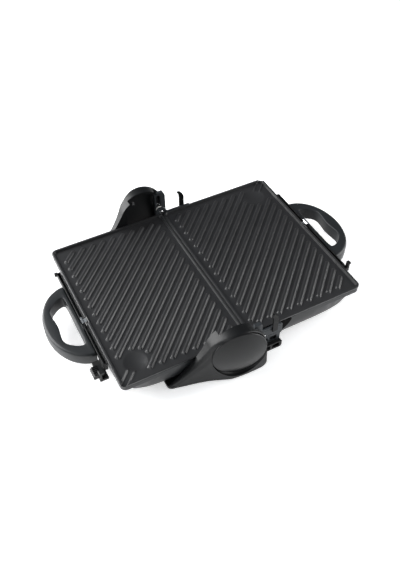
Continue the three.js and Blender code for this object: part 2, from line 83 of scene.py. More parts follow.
camera_data = bpy.data.cameras.new("camera")
camera = bpy.data.objects.new("camera", camera_data)
bpy.context.scene.collection.objects.link(camera)
back = Vector((
    math.sin(AZIMUTH) * math.cos(ELEVATION), -math.cos(AZIMUTH) * math.cos(ELEVATION), math.sin(ELEVATION)))
level = Vector((math.cos(AZIMUTH), math.sin(AZIMUTH), 0.0))
upright = back.cross(level)
right = level * math.cos(ROLL) + upright * math.sin(ROLL)
up = back.cross(right)
turn = Matrix((right, up, back)).transposed().to_4x4()
camera.matrix_world = Matrix.Translation((Vector(AIM) + back * DISTANCE) * MM) @ turn
camera_data.lens = LENS_MM
camera_data.sensor_width = SENSOR_MM
camera_data.clip_start, camera_data.clip_end = 0.05, 50.0
bpy.context.scene.camera = camera
print("camera at", [round(v, 3) for v in camera.matrix_world.translation], "m")

# %% [markdown]
# ## Floor and light
#
# A product table is one pale sheet that glows a little by itself, so that it stays white. The sky is bright
# on one lean of the dome, to the left and overhead, and dim on the right. That suits black plastic: flat
# tops mirror the middle tones, and what slopes mirrors the bright or the dim side and shows its shape. Three
# area lights add the accents. The right one draws the thin lines along the ribs, the left one lights the
# arms' roofs, and a small one in front adds a little fill.

# %% Floor and light
def linear(hex_colour, alpha=1.0):
    """sRGB hex, such as "#2b2c2e", to the linear RGBA that shader sockets take."""
    parts = [int(hex_colour[k:k + 2], 16) / 255 for k in (1, 3, 5)]
    return [c / 12.92 if c <= 0.04045 else ((c + 0.055) / 1.055) ** 2.4 for c in parts] + [alpha]


def add(tree, kind, values=None, links=None, **settings):
    """Adds one node: settings are its properties, values its constant sockets, links its incoming wires."""
    made = tree.nodes.new(kind)
    for name, value in settings.items():
        setattr(made, name, value)
    for socket, value in (values or {}).items():
        made.inputs[socket].default_value = value
    for socket, source in (links or {}).items():
        tree.links.new(source, made.inputs[socket])
    return made


def blank_material(name):
    """A material with an empty node tree and its output node."""
    material = bpy.data.materials.new(name)
    material.use_nodes = True
    tree = material.node_tree
    tree.nodes.clear()
    return material, tree, add(tree, "ShaderNodeOutputMaterial")


FLOOR_HALF, FLOOR_GLOW = 30, 0.46


def paper_sweep():
    """Matt white table paint: a plain diffuse with a trace of mottling."""
    material, tree, output = blank_material("matt_white_sweep")
    place = add(tree, "ShaderNodeTexCoord")
    mottle = add(tree, "ShaderNodeTexNoise", {"Scale": 3.0, "Detail": 2.0},
                 {"Vector": place.outputs["Object"]})
    tint = add(tree, "ShaderNodeValToRGB", links={"Fac": mottle.outputs["Fac"]})
    tint.color_ramp.elements[0].color = linear("#f6f6f6")
    tint.color_ramp.elements[1].color = linear("#fafafa")
    shader = add(tree, "ShaderNodeBsdfPrincipled",
                 {"Roughness": 0.9, "Emission Color": linear("#ffffff"), "Emission Strength": FLOOR_GLOW},
                 {"Base Color": tint.outputs["Color"]})
    tree.links.new(shader.outputs["BSDF"], output.inputs["Surface"])
    return material


floor_mesh = bpy.data.meshes.new("floor")
floor_corners = [(FLOOR_HALF * x, FLOOR_HALF * y, 0) for x, y in ((-1, -1), (1, -1), (1, 1), (-1, 1))]
floor_mesh.from_pydata(floor_corners, [], [(0, 1, 2, 3)])
floor = bpy.data.objects.new("floor", floor_mesh)
bpy.context.scene.collection.objects.link(floor)
floor_mesh.materials.append(paper_sweep())

world = bpy.data.worlds.new("studio")
bpy.context.scene.world = world
world.use_nodes = True
sky = world.node_tree
heading = add(sky, "ShaderNodeTexCoord").outputs["Generated"]
LEAN = (-0.5, 0.2, 0.84)
towards = add(sky, "ShaderNodeVectorMath", {1: LEAN}, {0: heading}, operation="DOT_PRODUCT")
dome = add(sky, "ShaderNodeValToRGB", links={"Fac": towards.outputs["Value"]})
dome.color_ramp.elements[0].color = linear("#3a3d40")
dome.color_ramp.elements[1].color = linear("#d0d4d8")
for place, shade in ((0.3, "#4a4d50"), (0.62, "#6a6e72"), (0.86, "#b9bec2")):
    stop = dome.color_ramp.elements.new(place)
    stop.color = linear(shade)
sky.links.new(dome.outputs["Color"], sky.nodes["Background"].inputs["Color"])
sky.nodes["Background"].inputs["Strength"].default_value = 1.0


def soft_box(name, place, aim, size, watts):
    """A square area light at place (metres) that faces aim."""
    data = bpy.data.lights.new(name, "AREA")
    data.shape, data.size, data.energy = "SQUARE", size, watts
    lamp = bpy.data.objects.new(name, data)
    bpy.context.scene.collection.objects.link(lamp)
    lamp.location = place
    lamp.rotation_euler = (Vector(aim) - Vector(place)).to_track_quat("-Z", "Y").to_euler()
    return lamp


soft_box("right_box", (0.95, -0.42, 0.36), (0.05, -0.05, 0.03), 0.8, 12)
soft_box("left_rear_box", (-1.3, 1.05, 0.7), (0, 0, 0.05), 1.8, 84)
soft_box("front_left_box", (-1.2, -0.7, 0.95), (-0.1, 0, 0.05), 0.45, 3)
bpy.context.scene.view_settings.view_transform = "Standard"

# %% [markdown]
# ## Finishes
#
# Nearly everything is black, so the finishes differ by gloss and grain and not by hue. Moulded ABS has a
# fine spark-eroded grain that spreads its highlight. The plates have a sprayed PTFE coat over cast
# aluminium, greyer and a little rough. Clips and pins are bare spring steel. Each finish is one small node
# tree on Object coordinates, so a grain keeps its real size on every piece.

# %% Plastic, coating and rubber
def grainy(name, hex_low, hex_high, roughness, grain_mm, depth_mm, patch_mm=45.0, metallic=0.0, spread=0.05,
           gloss_level=0.35):
    """A dielectric or painted surface: colour drifts between two shades over patches, gloss varies by
    spread, and a grain of the given size and depth breaks the highlight."""
    material, tree, output = blank_material(name)
    place = add(tree, "ShaderNodeTexCoord").outputs["Object"]
    patches = add(tree, "ShaderNodeTexNoise", {"Scale": 1 / (patch_mm * MM), "Detail": 3.0},
                  {"Vector": place})
    shade = add(tree, "ShaderNodeValToRGB", links={"Fac": patches.outputs["Fac"]})
    shade.color_ramp.elements[0].position, shade.color_ramp.elements[1].position = 0.3, 0.7
    shade.color_ramp.elements[0].color = linear(hex_low)
    shade.color_ramp.elements[1].color = linear(hex_high)
    grain = add(tree, "ShaderNodeTexNoise", {"Scale": 1 / (grain_mm * MM), "Detail": 2.0},
                {"Vector": place})
    gloss = add(tree, "ShaderNodeMapRange",
                {"To Min": roughness - spread, "To Max": roughness + spread},
                {"Value": grain.outputs["Fac"]})
    bump = add(tree, "ShaderNodeBump", {"Strength": 1.0, "Distance": depth_mm * MM},
               {"Height": grain.outputs["Fac"]})
    shader = add(tree, "ShaderNodeBsdfPrincipled",
                 {"Metallic": metallic, "Specular IOR Level": gloss_level},
                 {"Base Color": shade.outputs["Color"], "Roughness": gloss.outputs["Result"],
                  "Normal": bump.outputs["Normal"]})
    tree.links.new(shader.outputs["BSDF"], output.inputs["Surface"])
    return material


# Satin ABS from a spark-eroded mould. The real grain of about 0.1 mm is too fine to show, so 0.8 mm is used.
SATIN_ABS = grainy("satin_black_abs", "#101112", "#141516", 0.38, 0.8, 0.01, gloss_level=0.28)
# The shells' ABS comes from a smoother mould, so their sides shine more where they are seen at a low angle.
SHELL_ABS = grainy("gloss_black_abs", "#17181a", "#1c1e20", 0.36, 0.8, 0.01, gloss_level=0.38)
# Glass-filled nylon of the handles: a touch greyer and duller, because the fibres rise to the skin.
GRIP_NYLON = grainy("glass_filled_nylon_grip", "#1e2022", "#242628", 0.40, 0.7, 0.012)
# Black moulding of the channels and recesses, painted darker than the other black mouldings: painted shade,
# because they see little light.
CHANNEL_ABS_PAINTED_SHADE = grainy("channel_black_abs_painted_shade", "#0c0c0d", "#101011", 0.5, 0.8, 0.02)
# Sprayed PTFE on cast aluminium: grey-black, with the faint orange peel of the spray.
PTFE_COAT = grainy("sprayed_ptfe_on_cast_aluminium", "#252526", "#2a2a2b", 0.33, 1.6, 0.01, patch_mm=30.0,
                   gloss_level=0.5)
# Powder-coated steel sheet of the brackets and guides.
COATED_STEEL = grainy("powder_coated_steel", "#34373a", "#3b3e41", 0.42, 1.0, 0.03, metallic=0.3)
# Blacked spring steel of the lid's hooks, nearly as dark as the plastic round them.
BLACKED_STEEL = grainy("blacked_spring_steel", "#0e0f10", "#121314", 0.45, 1.0, 0.02, metallic=0.1,
                       gloss_level=0.2)
# Near-black matt paint for the painted shade in the lid's recesses. It has hardly any gloss, so it stays
# black even when seen at a low angle.
RECESS_SHADE_PAINT = grainy("matt_painted_recess_shade", "#060606", "#090909", 0.85, 1.0, 0.02, gloss_level=0.08)
# Silicone rubber of the feet, fully matt.
FOOT_RUBBER = grainy("silicone_foot_rubber", "#151515", "#1a1a1a", 0.85, 1.2, 0.03)
# Steatite ceramic of the terminal blocks and fuses.
STEATITE = grainy("pressed_steatite", "#d6cfbf", "#dfd9cb", 0.6, 1.0, 0.02)
# Acetal of the pin bushes.
ACETAL = grainy("turned_acetal", "#d8d6cf", "#dedcd6", 0.35, 1.0, 0.01)
print("moulded and coated finishes made")

# %% [markdown]
# Bare metal needs a streak more than a colour: drawn wire and rolled strip carry fine lines along their
# length. A noise stretched a hundred times along one axis gives the lines, and it moves only the roughness.

# %% Bare metals and lenses
def streaked_metal(name, hex_colour, roughness, streak_mm, along, spread=0.08):
    """Bare rolled or drawn metal: noise squeezed to streak_mm across and stretched along one axis."""
    material, tree, output = blank_material(name)
    place = add(tree, "ShaderNodeTexCoord").outputs["Object"]
    stretch = [1.0, 1.0, 1.0]
    stretch[along] = 0.02
    squeezed = add(tree, "ShaderNodeMapping", {"Scale": stretch}, {"Vector": place})
    streaks = add(tree, "ShaderNodeTexNoise", {"Scale": 1 / (streak_mm * MM), "Detail": 2.0},
                  {"Vector": squeezed.outputs["Vector"]})
    gloss = add(tree, "ShaderNodeMapRange",
                {"To Min": roughness - spread, "To Max": roughness + spread},
                {"Value": streaks.outputs["Fac"]})
    shader = add(tree, "ShaderNodeBsdfPrincipled", {"Base Color": linear(hex_colour), "Metallic": 1.0},
                 {"Roughness": gloss.outputs["Result"]})
    tree.links.new(shader.outputs["BSDF"], output.inputs["Surface"])
    return material


# Polished spring-steel strip of the plate clips, screws and pins.
SPRING_STEEL = streaked_metal("polished_spring_steel", "#e4e5e6", 0.24, 0.5, 1)
# Aluminised steel sheet of the reflectors.
ALUMINISED = streaked_metal("rolled_aluminised_steel", "#b9bbbd", 0.42, 1.0, 1)
# Incoloy sheath of the heating elements, browned by heat.
INCOLOY = streaked_metal("heat_browned_incoloy", "#5f5a54", 0.45, 1.0, 1)


def lens_plastic(name, hex_colour):
    """Clear tinted acrylic of an indicator: saturated, glossy, with a faint swirl from moulding."""
    material, tree, output = blank_material(name)
    place = add(tree, "ShaderNodeTexCoord").outputs["Object"]
    swirl = add(tree, "ShaderNodeTexNoise", {"Scale": 600.0}, {"Vector": place})
    bump = add(tree, "ShaderNodeBump", {"Strength": 0.3, "Distance": 0.01 * MM},
               {"Height": swirl.outputs["Fac"]})
    shader = add(tree, "ShaderNodeBsdfPrincipled",
                 {"Base Color": linear(hex_colour), "Roughness": 0.12, "Coat Weight": 0.5},
                 {"Normal": bump.outputs["Normal"]})
    tree.links.new(shader.outputs["BSDF"], output.inputs["Surface"])
    return material


RED_ACRYLIC = lens_plastic("tinted_acrylic_red", "#a01818")
GREEN_ACRYLIC = lens_plastic("tinted_acrylic_green", "#1c8a38")
print("metals and lenses made")

# %% [markdown]
# ## From arrays to meshes
#
# Every new piece is a stack of rings: a grid whose rows are closed outlines, worked out as whole arrays.
# Neighbouring rings are joined by quads, and the first and last ring can shrink onto a point. The volume's
# sign tells whether the faces look outwards, so one helper can turn an inside-out stack round.

# %% Ring stacks
def finish_mesh(name, points, quads, fans, body, material, node=None, sharp=35.0):
    """Points in mm and faces as index arrays become one outward-facing object at the origin that rides on a
    body. Faces that meet at more than sharp degrees keep a crease."""
    corners = [quads.reshape(-1, 4)[:, [0, 1, 2]], quads.reshape(-1, 4)[:, [0, 2, 3]], fans.reshape(-1, 3)]
    triangles = np.concatenate(corners)
    a, b, c = (points[triangles[:, k]] for k in range(3))
    volume = np.einsum("ij,ij->i", a, np.cross(b, c)).sum() / 6
    if volume < 0:
        quads, fans = quads[:, ::-1], fans[:, ::-1]
    mesh = bpy.data.meshes.new(name)
    loops = np.concatenate([quads.ravel(), fans.ravel()])
    sizes = np.concatenate([np.full(len(quads), 4), np.full(len(fans), 3)])
    mesh.vertices.add(len(points))
    mesh.vertices.foreach_set("co", (points * MM).ravel())
    mesh.loops.add(len(loops))
    mesh.loops.foreach_set("vertex_index", loops)
    mesh.polygons.add(len(sizes))
    mesh.polygons.foreach_set("loop_start", np.concatenate([[0], np.cumsum(sizes)[:-1]]))
    mesh.update(calc_edges=True)
    mesh.validate()
    mesh.shade_smooth()
    mesh.set_sharp_from_angle(angle=math.radians(sharp))
    mesh.materials.append(material)
    piece = bpy.data.objects.new(name, mesh)
    bpy.context.scene.collection.objects.link(piece)
    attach(piece, body)
    if node:
        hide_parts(node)
    return piece


def ring_stack(rings, first=None, last=None):
    """Index arrays of a ring stack. rings has shape (ring, place, 3); first and last are closing points, or
    None to leave that end to the caller. Returns points, quads, fans."""
    count, around = rings.shape[:2]
    points = rings.reshape(-1, 3)
    here = np.arange(count * around).reshape(count, around)
    beside = np.roll(here, -1, axis=1)
    quads = np.stack([here[:-1], beside[:-1], beside[1:], here[1:]], axis=-1).reshape(-1, 4)
    fans = []
    for tip, ring, flip in ((first, 0, True), (last, count - 1, False)):
        if tip is None:
            continue
        points = np.vstack([points, tip])
        pole = np.full(around, len(points) - 1)
        fan = np.stack([here[ring], beside[ring], pole], axis=-1)
        fans.append(fan[:, ::-1] if flip else fan)
    fans = np.concatenate(fans) if fans else np.zeros((0, 3), int)
    return points, quads, fans


def turn_half(points):
    """The lid half is the base half turned half a turn about the vertical."""
    return points * np.array([-1.0, -1.0, 1.0])


def mirror_far(points):
    """The far arm is the near arm mirrored across the middle."""
    return points * np.array([1.0, -1.0, 1.0])


def smooth_step(x, low, high):
    """0 below low, 1 above high, and a soft S between them."""
    t = np.clip((x - low) / (high - low), 0.0, 1.0)
    return t * t * (3 - 2 * t)


print("mesh helpers ready")

# %% [markdown]
# ## The cooking plates
#
# Each plate is one aluminium casting: a tray with a rounded rim, diagonal ribs with flat tops and soft
# shoulders, a shallow drain bowl in one corner and a spout that cuts the rim beside it, between two low
# fins. It could be cut from solids with many booleans. A height field is simpler, because every feature is a
# height above the floor that depends only on the place in plan, and where two features meet their soft
# edges blend by themselves. The fins start at the rim's inner wall, so they never rise above the rim.

# %% Plate plan and height
PLATE_LOW, PLATE_HIGH = box_mm("base_plate")
PLATE_CORNER = 9.0
PLATE_TOP = PLATE_HIGH[2]
LIP_UNDER, PLATE_FLOOR, RIB_TOP = PLATE_TOP - 3.0, PLATE_TOP - 3.6, PLATE_TOP - 0.9
RIB_PITCH, RIB_HALF_WIDTH, RIB_MARGIN = 12.2, 2.9, 14.0
RIB_ROUND, RIB_SHORTEST, NO_RIB_NEAR = 1.4, 12, 50.0
BOWL = np.array([-161.0, -112.0])
BOWL_RADIUS, BOWL_DEPTH, BOWL_CLEAR, BOWL_POWER = 17.5, 2.3, 22.0, 1.15
WALL_START, WALL_END = 3.6, 4.8
SHOULDER_DROP, SHOULDER_WIDTH = 0.42, 1.3
SPOUT_START, SPOUT_END, SPOUT_SINK = 12.0, 18.0, 0.5
FIN_PLACE, FIN_WIDTH, FIN_HEIGHT, FIN_FULL = 5.2, 0.8, 1.5, 6.0
RIM_TICKS = np.array([0, 0.5, 1.2, 2.2, 3.0, 3.6, 3.9, 4.2, 4.5, 4.8, 5.4, 6.2, 7.1, 8.0])


def rounded_square_map(a, b):
    """Maps a unit square onto a quarter disc: each side coordinate shrinks by the square root of one minus
    half the other's square, so the two far edges land on the circle."""
    return a * np.sqrt(1 - b * b / 2), b * np.sqrt(1 - a * a / 2)


def plan_grid(x0, x1, y0, y1, corner, step):
    """A rectangular grid whose four corners are rounded, as two arrays of x and y. Its lines lie closer
    together over the rim, where the wall is steep."""
    def ticks(low, high):
        inner = np.linspace(low + corner, high - corner, round((high - low - 2 * corner) / step) + 1)
        return np.concatenate([low + RIM_TICKS, inner, (high - RIM_TICKS)[::-1]])

    x, y = np.meshgrid(ticks(x0, x1), ticks(y0, y1), indexing="ij")
    near_x = np.clip(x, x0 + corner, x1 - corner)
    near_y = np.clip(y, y0 + corner, y1 - corner)
    a, b = rounded_square_map(np.abs(x - near_x) / corner, np.abs(y - near_y) / corner)
    return near_x + np.sign(x - near_x) * a * corner, near_y + np.sign(y - near_y) * b * corner


def edge_distance(x, y, x0, x1, y0, y1, corner):
    """Distance inwards from a rounded rectangle's edge."""
    half_x, half_y = (x1 - x0) / 2 - corner, (y1 - y0) / 2 - corner
    out_x, out_y = np.abs(x - (x0 + x1) / 2) - half_x, np.abs(y - (y0 + y1) / 2) - half_y
    outside = np.hypot(np.maximum(out_x, 0), np.maximum(out_y, 0)) + np.minimum(np.maximum(out_x, out_y), 0)
    return corner - outside


def rib_distance(x, y):
    """Distance from the nearest rib's outline, negative inside it. A rib runs at 45 degrees along the line
    y = x + shift, where shift is a whole number of pitches times the square root of two. Its two ends stay
    a margin inside the rim, and the stretch that would enter the drain bowl's clearing is left out."""
    step = RIB_PITCH * math.sqrt(2)
    shift = np.round((y - x) / step) * step
    across = np.abs(y - x - shift) / math.sqrt(2)
    along = (x + y - shift) / 2
    low = np.maximum(PLATE_LOW[0] + RIB_MARGIN, PLATE_LOW[1] + RIB_MARGIN - shift)
    high = np.minimum(PLATE_HIGH[0] - RIB_MARGIN, PLATE_HIGH[1] - RIB_MARGIN - shift)
    middle = (BOWL.sum() - shift) / 2
    miss = np.abs(BOWL[1] - BOWL[0] - shift) / math.sqrt(2)
    reach = np.sqrt(np.maximum(BOWL_CLEAR ** 2 - miss ** 2, 0)) / math.sqrt(2)
    cut = miss < BOWL_CLEAR
    nearest = np.full(x.shape, NO_RIB_NEAR)
    for start, end in ((low, np.where(cut, np.minimum(high, middle - reach), high)),
                       (np.where(cut, np.maximum(low, middle + reach), high), high)):
        beyond = (np.abs(along - (start + end) / 2) - (end - start) / 2) * math.sqrt(2)
        a, b = across - RIB_HALF_WIDTH + RIB_ROUND, beyond + RIB_ROUND
        rounded = np.hypot(np.maximum(a, 0), np.maximum(b, 0)) + np.minimum(np.maximum(a, b), 0) - RIB_ROUND
        long_enough = (end - start) * math.sqrt(2) > RIB_SHORTEST
        nearest = np.where(long_enough, np.minimum(nearest, rounded), nearest)
    return nearest


def plate_height(x, y):
    """Height of the cooking face: rim, then tray floor, plus ribs, minus the bowl, cut by the spout."""
    d = edge_distance(x, y, PLATE_LOW[0], PLATE_HIGH[0], PLATE_LOW[1], PLATE_HIGH[1], PLATE_CORNER)
    z = PLATE_FLOOR + (PLATE_TOP - PLATE_FLOOR) * (1 - smooth_step(d, WALL_START, WALL_END))
    z -= SHOULDER_DROP * (1 - smooth_step(d, 0.0, SHOULDER_WIDTH))
    z += (RIB_TOP - PLATE_FLOOR) * (1 - smooth_step(rib_distance(x, y), -1.0, 0.7))
    from_bowl = np.hypot(x - BOWL[0], y - BOWL[1])
    z -= BOWL_DEPTH * np.maximum(1 - (from_bowl / BOWL_RADIUS) ** 2, 0) ** BOWL_POWER
    along = ((x - BOWL[0]) + (y - BOWL[1])) / -math.sqrt(2)
    across = ((x - BOWL[0]) - (y - BOWL[1])) / math.sqrt(2)
    in_spout = smooth_step(along, SPOUT_START, SPOUT_END)
    channel = in_spout * (1 - smooth_step(np.abs(across), 2.6, 4.4))
    z = z * (1 - channel) + np.minimum(z, PLATE_FLOOR - SPOUT_SINK) * channel
    fins = in_spout * np.exp(-((np.abs(across) - FIN_PLACE) / FIN_WIDTH) ** 2)
    return z + FIN_HEIGHT * fins * smooth_step(d, WALL_START, FIN_FULL)


print("plate height runs from", PLATE_FLOOR - BOWL_DEPTH, "to", PLATE_TOP, "mm")

# %% [markdown]
# The grid's rim is a closed loop of points. The casting's outside goes on from that loop: down the lip, in
# under it, down the body and across the flat underside. The clip sits in a small step in the middle of the
# front rim, so the rim dips there.

# %% Plate castings
CLIP_Y, CLIP_DIP = -13.0, 1.7


def loop_of(shape):
    """Indices of a grid's outer loop, once round."""
    rows, columns = shape
    index = np.arange(rows * columns).reshape(shape)
    return np.concatenate([index[0, :-1], index[:-1, -1], index[-1, :0:-1], index[:0:-1, 0]])


def plate_casting(step=1.05):
    """Points, quads and fans of the base plate: the height field, then its outside and underside."""
    x, y = plan_grid(PLATE_LOW[0], PLATE_HIGH[0], PLATE_LOW[1], PLATE_HIGH[1], PLATE_CORNER, step)
    z = plate_height(x, y)
    dip = (1 - smooth_step(np.abs(y - CLIP_Y), 5.0, 5.8)) * (1 - smooth_step(x - PLATE_LOW[0], 1.4, 2.4))
    z -= CLIP_DIP * dip
    index = np.arange(x.size).reshape(x.shape)
    cells = np.stack([index[:-1, :-1], index[1:, :-1], index[1:, 1:], index[:-1, 1:]], axis=-1)
    quads = cells.reshape(-1, 4)
    grid = np.stack([x, y, z], axis=-1).reshape(-1, 3)
    rim = grid[loop_of(x.shape)]
    middle = (PLATE_LOW[:2] + PLATE_HIGH[:2]) / 2
    half = (PLATE_HIGH[:2] - PLATE_LOW[:2]) / 2
    rings = [rim]
    for inset, height in ((0.0, LIP_UNDER + 0.6), (0.6, LIP_UNDER), (3.9, LIP_UNDER),
                          (3.9, PLATE_LOW[2] + 1), (4.9, PLATE_LOW[2])):
        inward = (rim[:, :2] - middle) * (1 - inset / half) + middle
        rings.append(np.column_stack([inward, np.full(len(rim), height)]))
    skirt, skirt_quads, fan = ring_stack(np.array(rings), last=(*middle, PLATE_LOW[2]))
    moved = skirt_quads + len(grid)
    return np.vstack([grid, skirt]), np.vstack([quads, moved[:, ::-1]]), (fan + len(grid))[:, ::-1]


def welded(piece, distance_mm=0.01):
    """Merges points that coincide and turns every face outwards."""
    made = bmesh.new()
    made.from_mesh(piece.data)
    bmesh.ops.remove_doubles(made, verts=made.verts, dist=distance_mm * MM)
    bmesh.ops.recalc_face_normals(made, faces=made.faces)
    made.to_mesh(piece.data)
    made.free()
    return piece


points, quads, fans = plate_casting()
base_plate = finish_mesh("base_plate_casting", points, quads, fans, "base", PTFE_COAT,
                         "base_plate")
lid_plate = finish_mesh("lid_plate_casting", turn_half(points), quads, fans, "lid",
                        PTFE_COAT, "lid_plate")
for casting in (base_plate, lid_plate):
    welded(casting)
    casting.data.set_sharp_from_angle(angle=math.radians(50))
print("plates:", len(base_plate.data.polygons), "faces each")

# %% [markdown]
# ## The shells
#
# Under each plate is a moulded tub. Its skin is almost flat below and turns up ever faster towards the long
# sides, like a superellipse, while the ends rise more gently. So the skin's depth is one minus a high power
# of the distance across and along, all to a small power that squares the shoulder. Rings of the plan
# outline shrink towards the middle and read their height from that formula.

# %% Shell skins
SHELL_LOW, SHELL_HIGH = box_mm("base_shell")
SHELL_SKIRT, SHELL_DEPTH, SHELL_WALL, SHELL_DEEPEST = 37.0, 34.0, 2.5, -60.0


def skin_height(x, y, inset=0.0):
    """Height of the skin pushed in by inset: skirt minus depth times (1 - across^13 - along^p)^(1/3). The
    power p is 5 towards the front and 8 towards the hinge."""
    across = np.minimum(np.abs(y) / (SHELL_HIGH[1] - inset), 1) ** 13
    front = np.clip((SHELL_DEEPEST - x) / (SHELL_DEEPEST - SHELL_LOW[0] - inset), 0, 1) ** 5
    rear = np.clip((x - SHELL_DEEPEST) / (SHELL_HIGH[0] - inset - SHELL_DEEPEST), 0, 1) ** 8
    rest = np.maximum(1 - across - front - rear, 0)
    return SHELL_SKIRT + inset - SHELL_DEPTH * np.cbrt(rest)


def rounded_rectangle(x0, x1, y0, y1, corner, along_side=40, round_corner=8):
    """Points of a rounded rectangle, anticlockwise, with its sides divided evenly."""
    turns = np.linspace(0, math.pi / 2, round_corner)
    parts = []
    centres = [(x1 - corner, y1 - corner, 0), (x0 + corner, y1 - corner, 1),
               (x0 + corner, y0 + corner, 2), (x1 - corner, y0 + corner, 3)]
    for k, (cx, cy, quarter) in enumerate(centres):
        angles = turns + quarter * math.pi / 2
        arc = np.column_stack([cx + corner * np.cos(angles), cy + corner * np.sin(angles)])
        nx, ny, next_quarter = centres[(k + 1) % 4]
        start = next_quarter * math.pi / 2
        target = np.array([nx + corner * math.cos(start), ny + corner * math.sin(start)])
        share = np.linspace(0, 1, along_side + 1)[1:-1, None]
        parts += [arc, arc[-1] * (1 - share) + target * share]
    return np.vstack(parts)


def shell_tub():
    """Rings down the outer skin from its pole, over the top edge, and down the inner skin to its pole."""
    steps = 1 - np.linspace(0, 1, 15) ** 2.6 * 0.97
    middle = (SHELL_LOW[:2] + SHELL_HIGH[:2]) / 2

    def ring(inset, step, height=None):
        outline = rounded_rectangle(SHELL_LOW[0] + inset, SHELL_HIGH[0] - inset, SHELL_LOW[1] + inset,
                                    SHELL_HIGH[1] - inset, PLATE_CORNER - inset)
        plan = middle + (outline - middle) * step
        z = skin_height(plan[:, 0], plan[:, 1], inset) if height is None else np.full(len(plan), height)
        return np.column_stack([plan, z])

    rings = [ring(0, step) for step in steps[::-1]]
    rings += [ring(0, 1, SHELL_HIGH[2] - 0.5), ring(0.5, 1, SHELL_HIGH[2]),
              ring(SHELL_WALL, 1, SHELL_HIGH[2])]
    rings += [ring(SHELL_WALL, step) for step in steps]
    outer = (*middle, float(skin_height(middle[0], middle[1])))
    inner = (*middle, float(skin_height(middle[0], middle[1], SHELL_WALL)))
    return ring_stack(np.array(rings), outer, inner)


points, quads, fans = shell_tub()
finish_mesh("base_shell_moulding", points, quads, fans, "base", SHELL_ABS,
            "base_shell")
finish_mesh("lid_shell_moulding", turn_half(points), quads, fans, "lid", SHELL_ABS,
            "lid_shell")
print("shells:", len(quads), "quads each")

# %% [markdown]
# ## The handles
#
# A handle is a flat D with a grip hole. The real one is moulded hollow below; this one is solid. Its outline
# is half an ellipse cut by the front of the shell, and the hole narrows in the middle where the fingers
# curl. Both outlines are read from
# one centre by angle, so a cross-section can be carried round between them. The section is a rectangle with
# a generous radius on the outside and a small one in the hole.

# %% Handles
HANDLE_LOW, HANDLE_HIGH = box_mm("base_handle")
HANDLE_CENTRE = np.array([-222.0, 0.0])


def smooth_loop(controls, per_span):
    """A closed Catmull-Rom curve: between two points it is the cubic whose ends lean along their
    neighbours' chord."""
    controls = np.asarray(controls, float)
    t = np.linspace(0, 1, per_span, endpoint=False)[:, None, None]
    before, here, after, beyond = (np.roll(controls, s, axis=0)[None] for s in (1, 0, -1, -2))
    curve = 0.5 * (2 * here + (after - before) * t + (2 * before - 5 * here + 4 * after - beyond) * t ** 2
                   + (3 * here - before - 3 * after + beyond) * t ** 3)
    return curve.transpose(1, 0, 2).reshape(-1, controls.shape[1])


def radius_by_angle(outline, centre, angles):
    """Distance from centre to a closed outline in each given direction."""
    offset = outline - centre
    turned = np.unwrap(np.arctan2(offset[:, 1], offset[:, 0]))
    if turned[-1] < turned[0]:
        turned, offset = turned[::-1], offset[::-1]
    return np.interp(angles, turned, np.hypot(*offset.T), period=2 * math.pi)


def handle_ring_stack(count=220):
    """Carries the section round the handle. Outside and hole are joined by straight rays, and a corner of
    radius r is a quarter circle that eats r of the ray and r of the height."""
    ellipse = np.linspace(0, 2 * math.pi, 720, endpoint=False)
    outer = np.column_stack([-200.0 - 54.0 * np.cos(ellipse), 72.0 * np.sin(ellipse)])
    outer[:, 0] = np.minimum(outer[:, 0], HANDLE_HIGH[0])
    hole = smooth_loop([(-209, -40), (-213, -48.5), (-226, -43), (-236.5, -29), (-234.5, 0), (-236.5, 29),
                        (-226, 43), (-213, 48.5), (-209, 40), (-209, 0)], 24)
    angles = np.linspace(0, 2 * math.pi, count, endpoint=False)
    stretch = np.arctan2(1.9 * np.sin(angles), np.cos(angles))
    direction = np.column_stack([np.cos(stretch), np.sin(stretch)])
    far = radius_by_angle(outer, HANDLE_CENTRE, stretch)
    near = radius_by_angle(hole, HANDLE_CENTRE, stretch)
    low, high = HANDLE_LOW[2], HANDLE_HIGH[2]
    quarter = np.linspace(0, math.pi / 2, 6)
    section = []
    for outside, height, radius in ((True, low, 3.0), (True, high, 4.5), (False, high, 1.8),
                                    (False, low, 1.8)):
        side, upward = (1 if outside else -1), (1 if height == high else -1)
        sweep = quarter if outside == (height == high) else quarter[::-1]
        for angle in sweep:
            bite = np.minimum(radius, (far - near) * 0.3)
            along = (far if outside else near) - side * bite * (1 - np.cos(angle))
            z = height - upward * bite * (1 - np.sin(angle))
            section.append(np.column_stack([HANDLE_CENTRE + direction * along[:, None], z]))
    rings = np.array(section)
    points, quads, _ = ring_stack(rings)
    here, around = np.arange(count), (len(rings) - 1) * count
    closing = np.stack([here + around, np.roll(here, -1) + around, np.roll(here, -1), here], axis=-1)
    return points, np.vstack([quads, closing]), np.zeros((0, 3), int)


points, quads, fans = handle_ring_stack()
finish_mesh("base_handle_grip", points, quads, fans, "base", GRIP_NYLON, "base_handle")
finish_mesh("lid_handle_grip", turn_half(points), quads, fans, "lid", GRIP_NYLON,
            "lid_handle")
print("handles:", len(quads), "quads each")

# %% [markdown]
# ## Prisms with holes
#
# Rails, latch, brackets, guides, hooks and feet are flat outlines with thickness, joined and cut at right
# angles. A moulder or a press shop makes them so, and so does this lesson: an outline is carried along one
# axis, Boolean modifiers join and cut the prisms, and a Bevel modifier breaks the edges at the end, because
# no real edge is perfectly sharp and only a broken edge catches light.

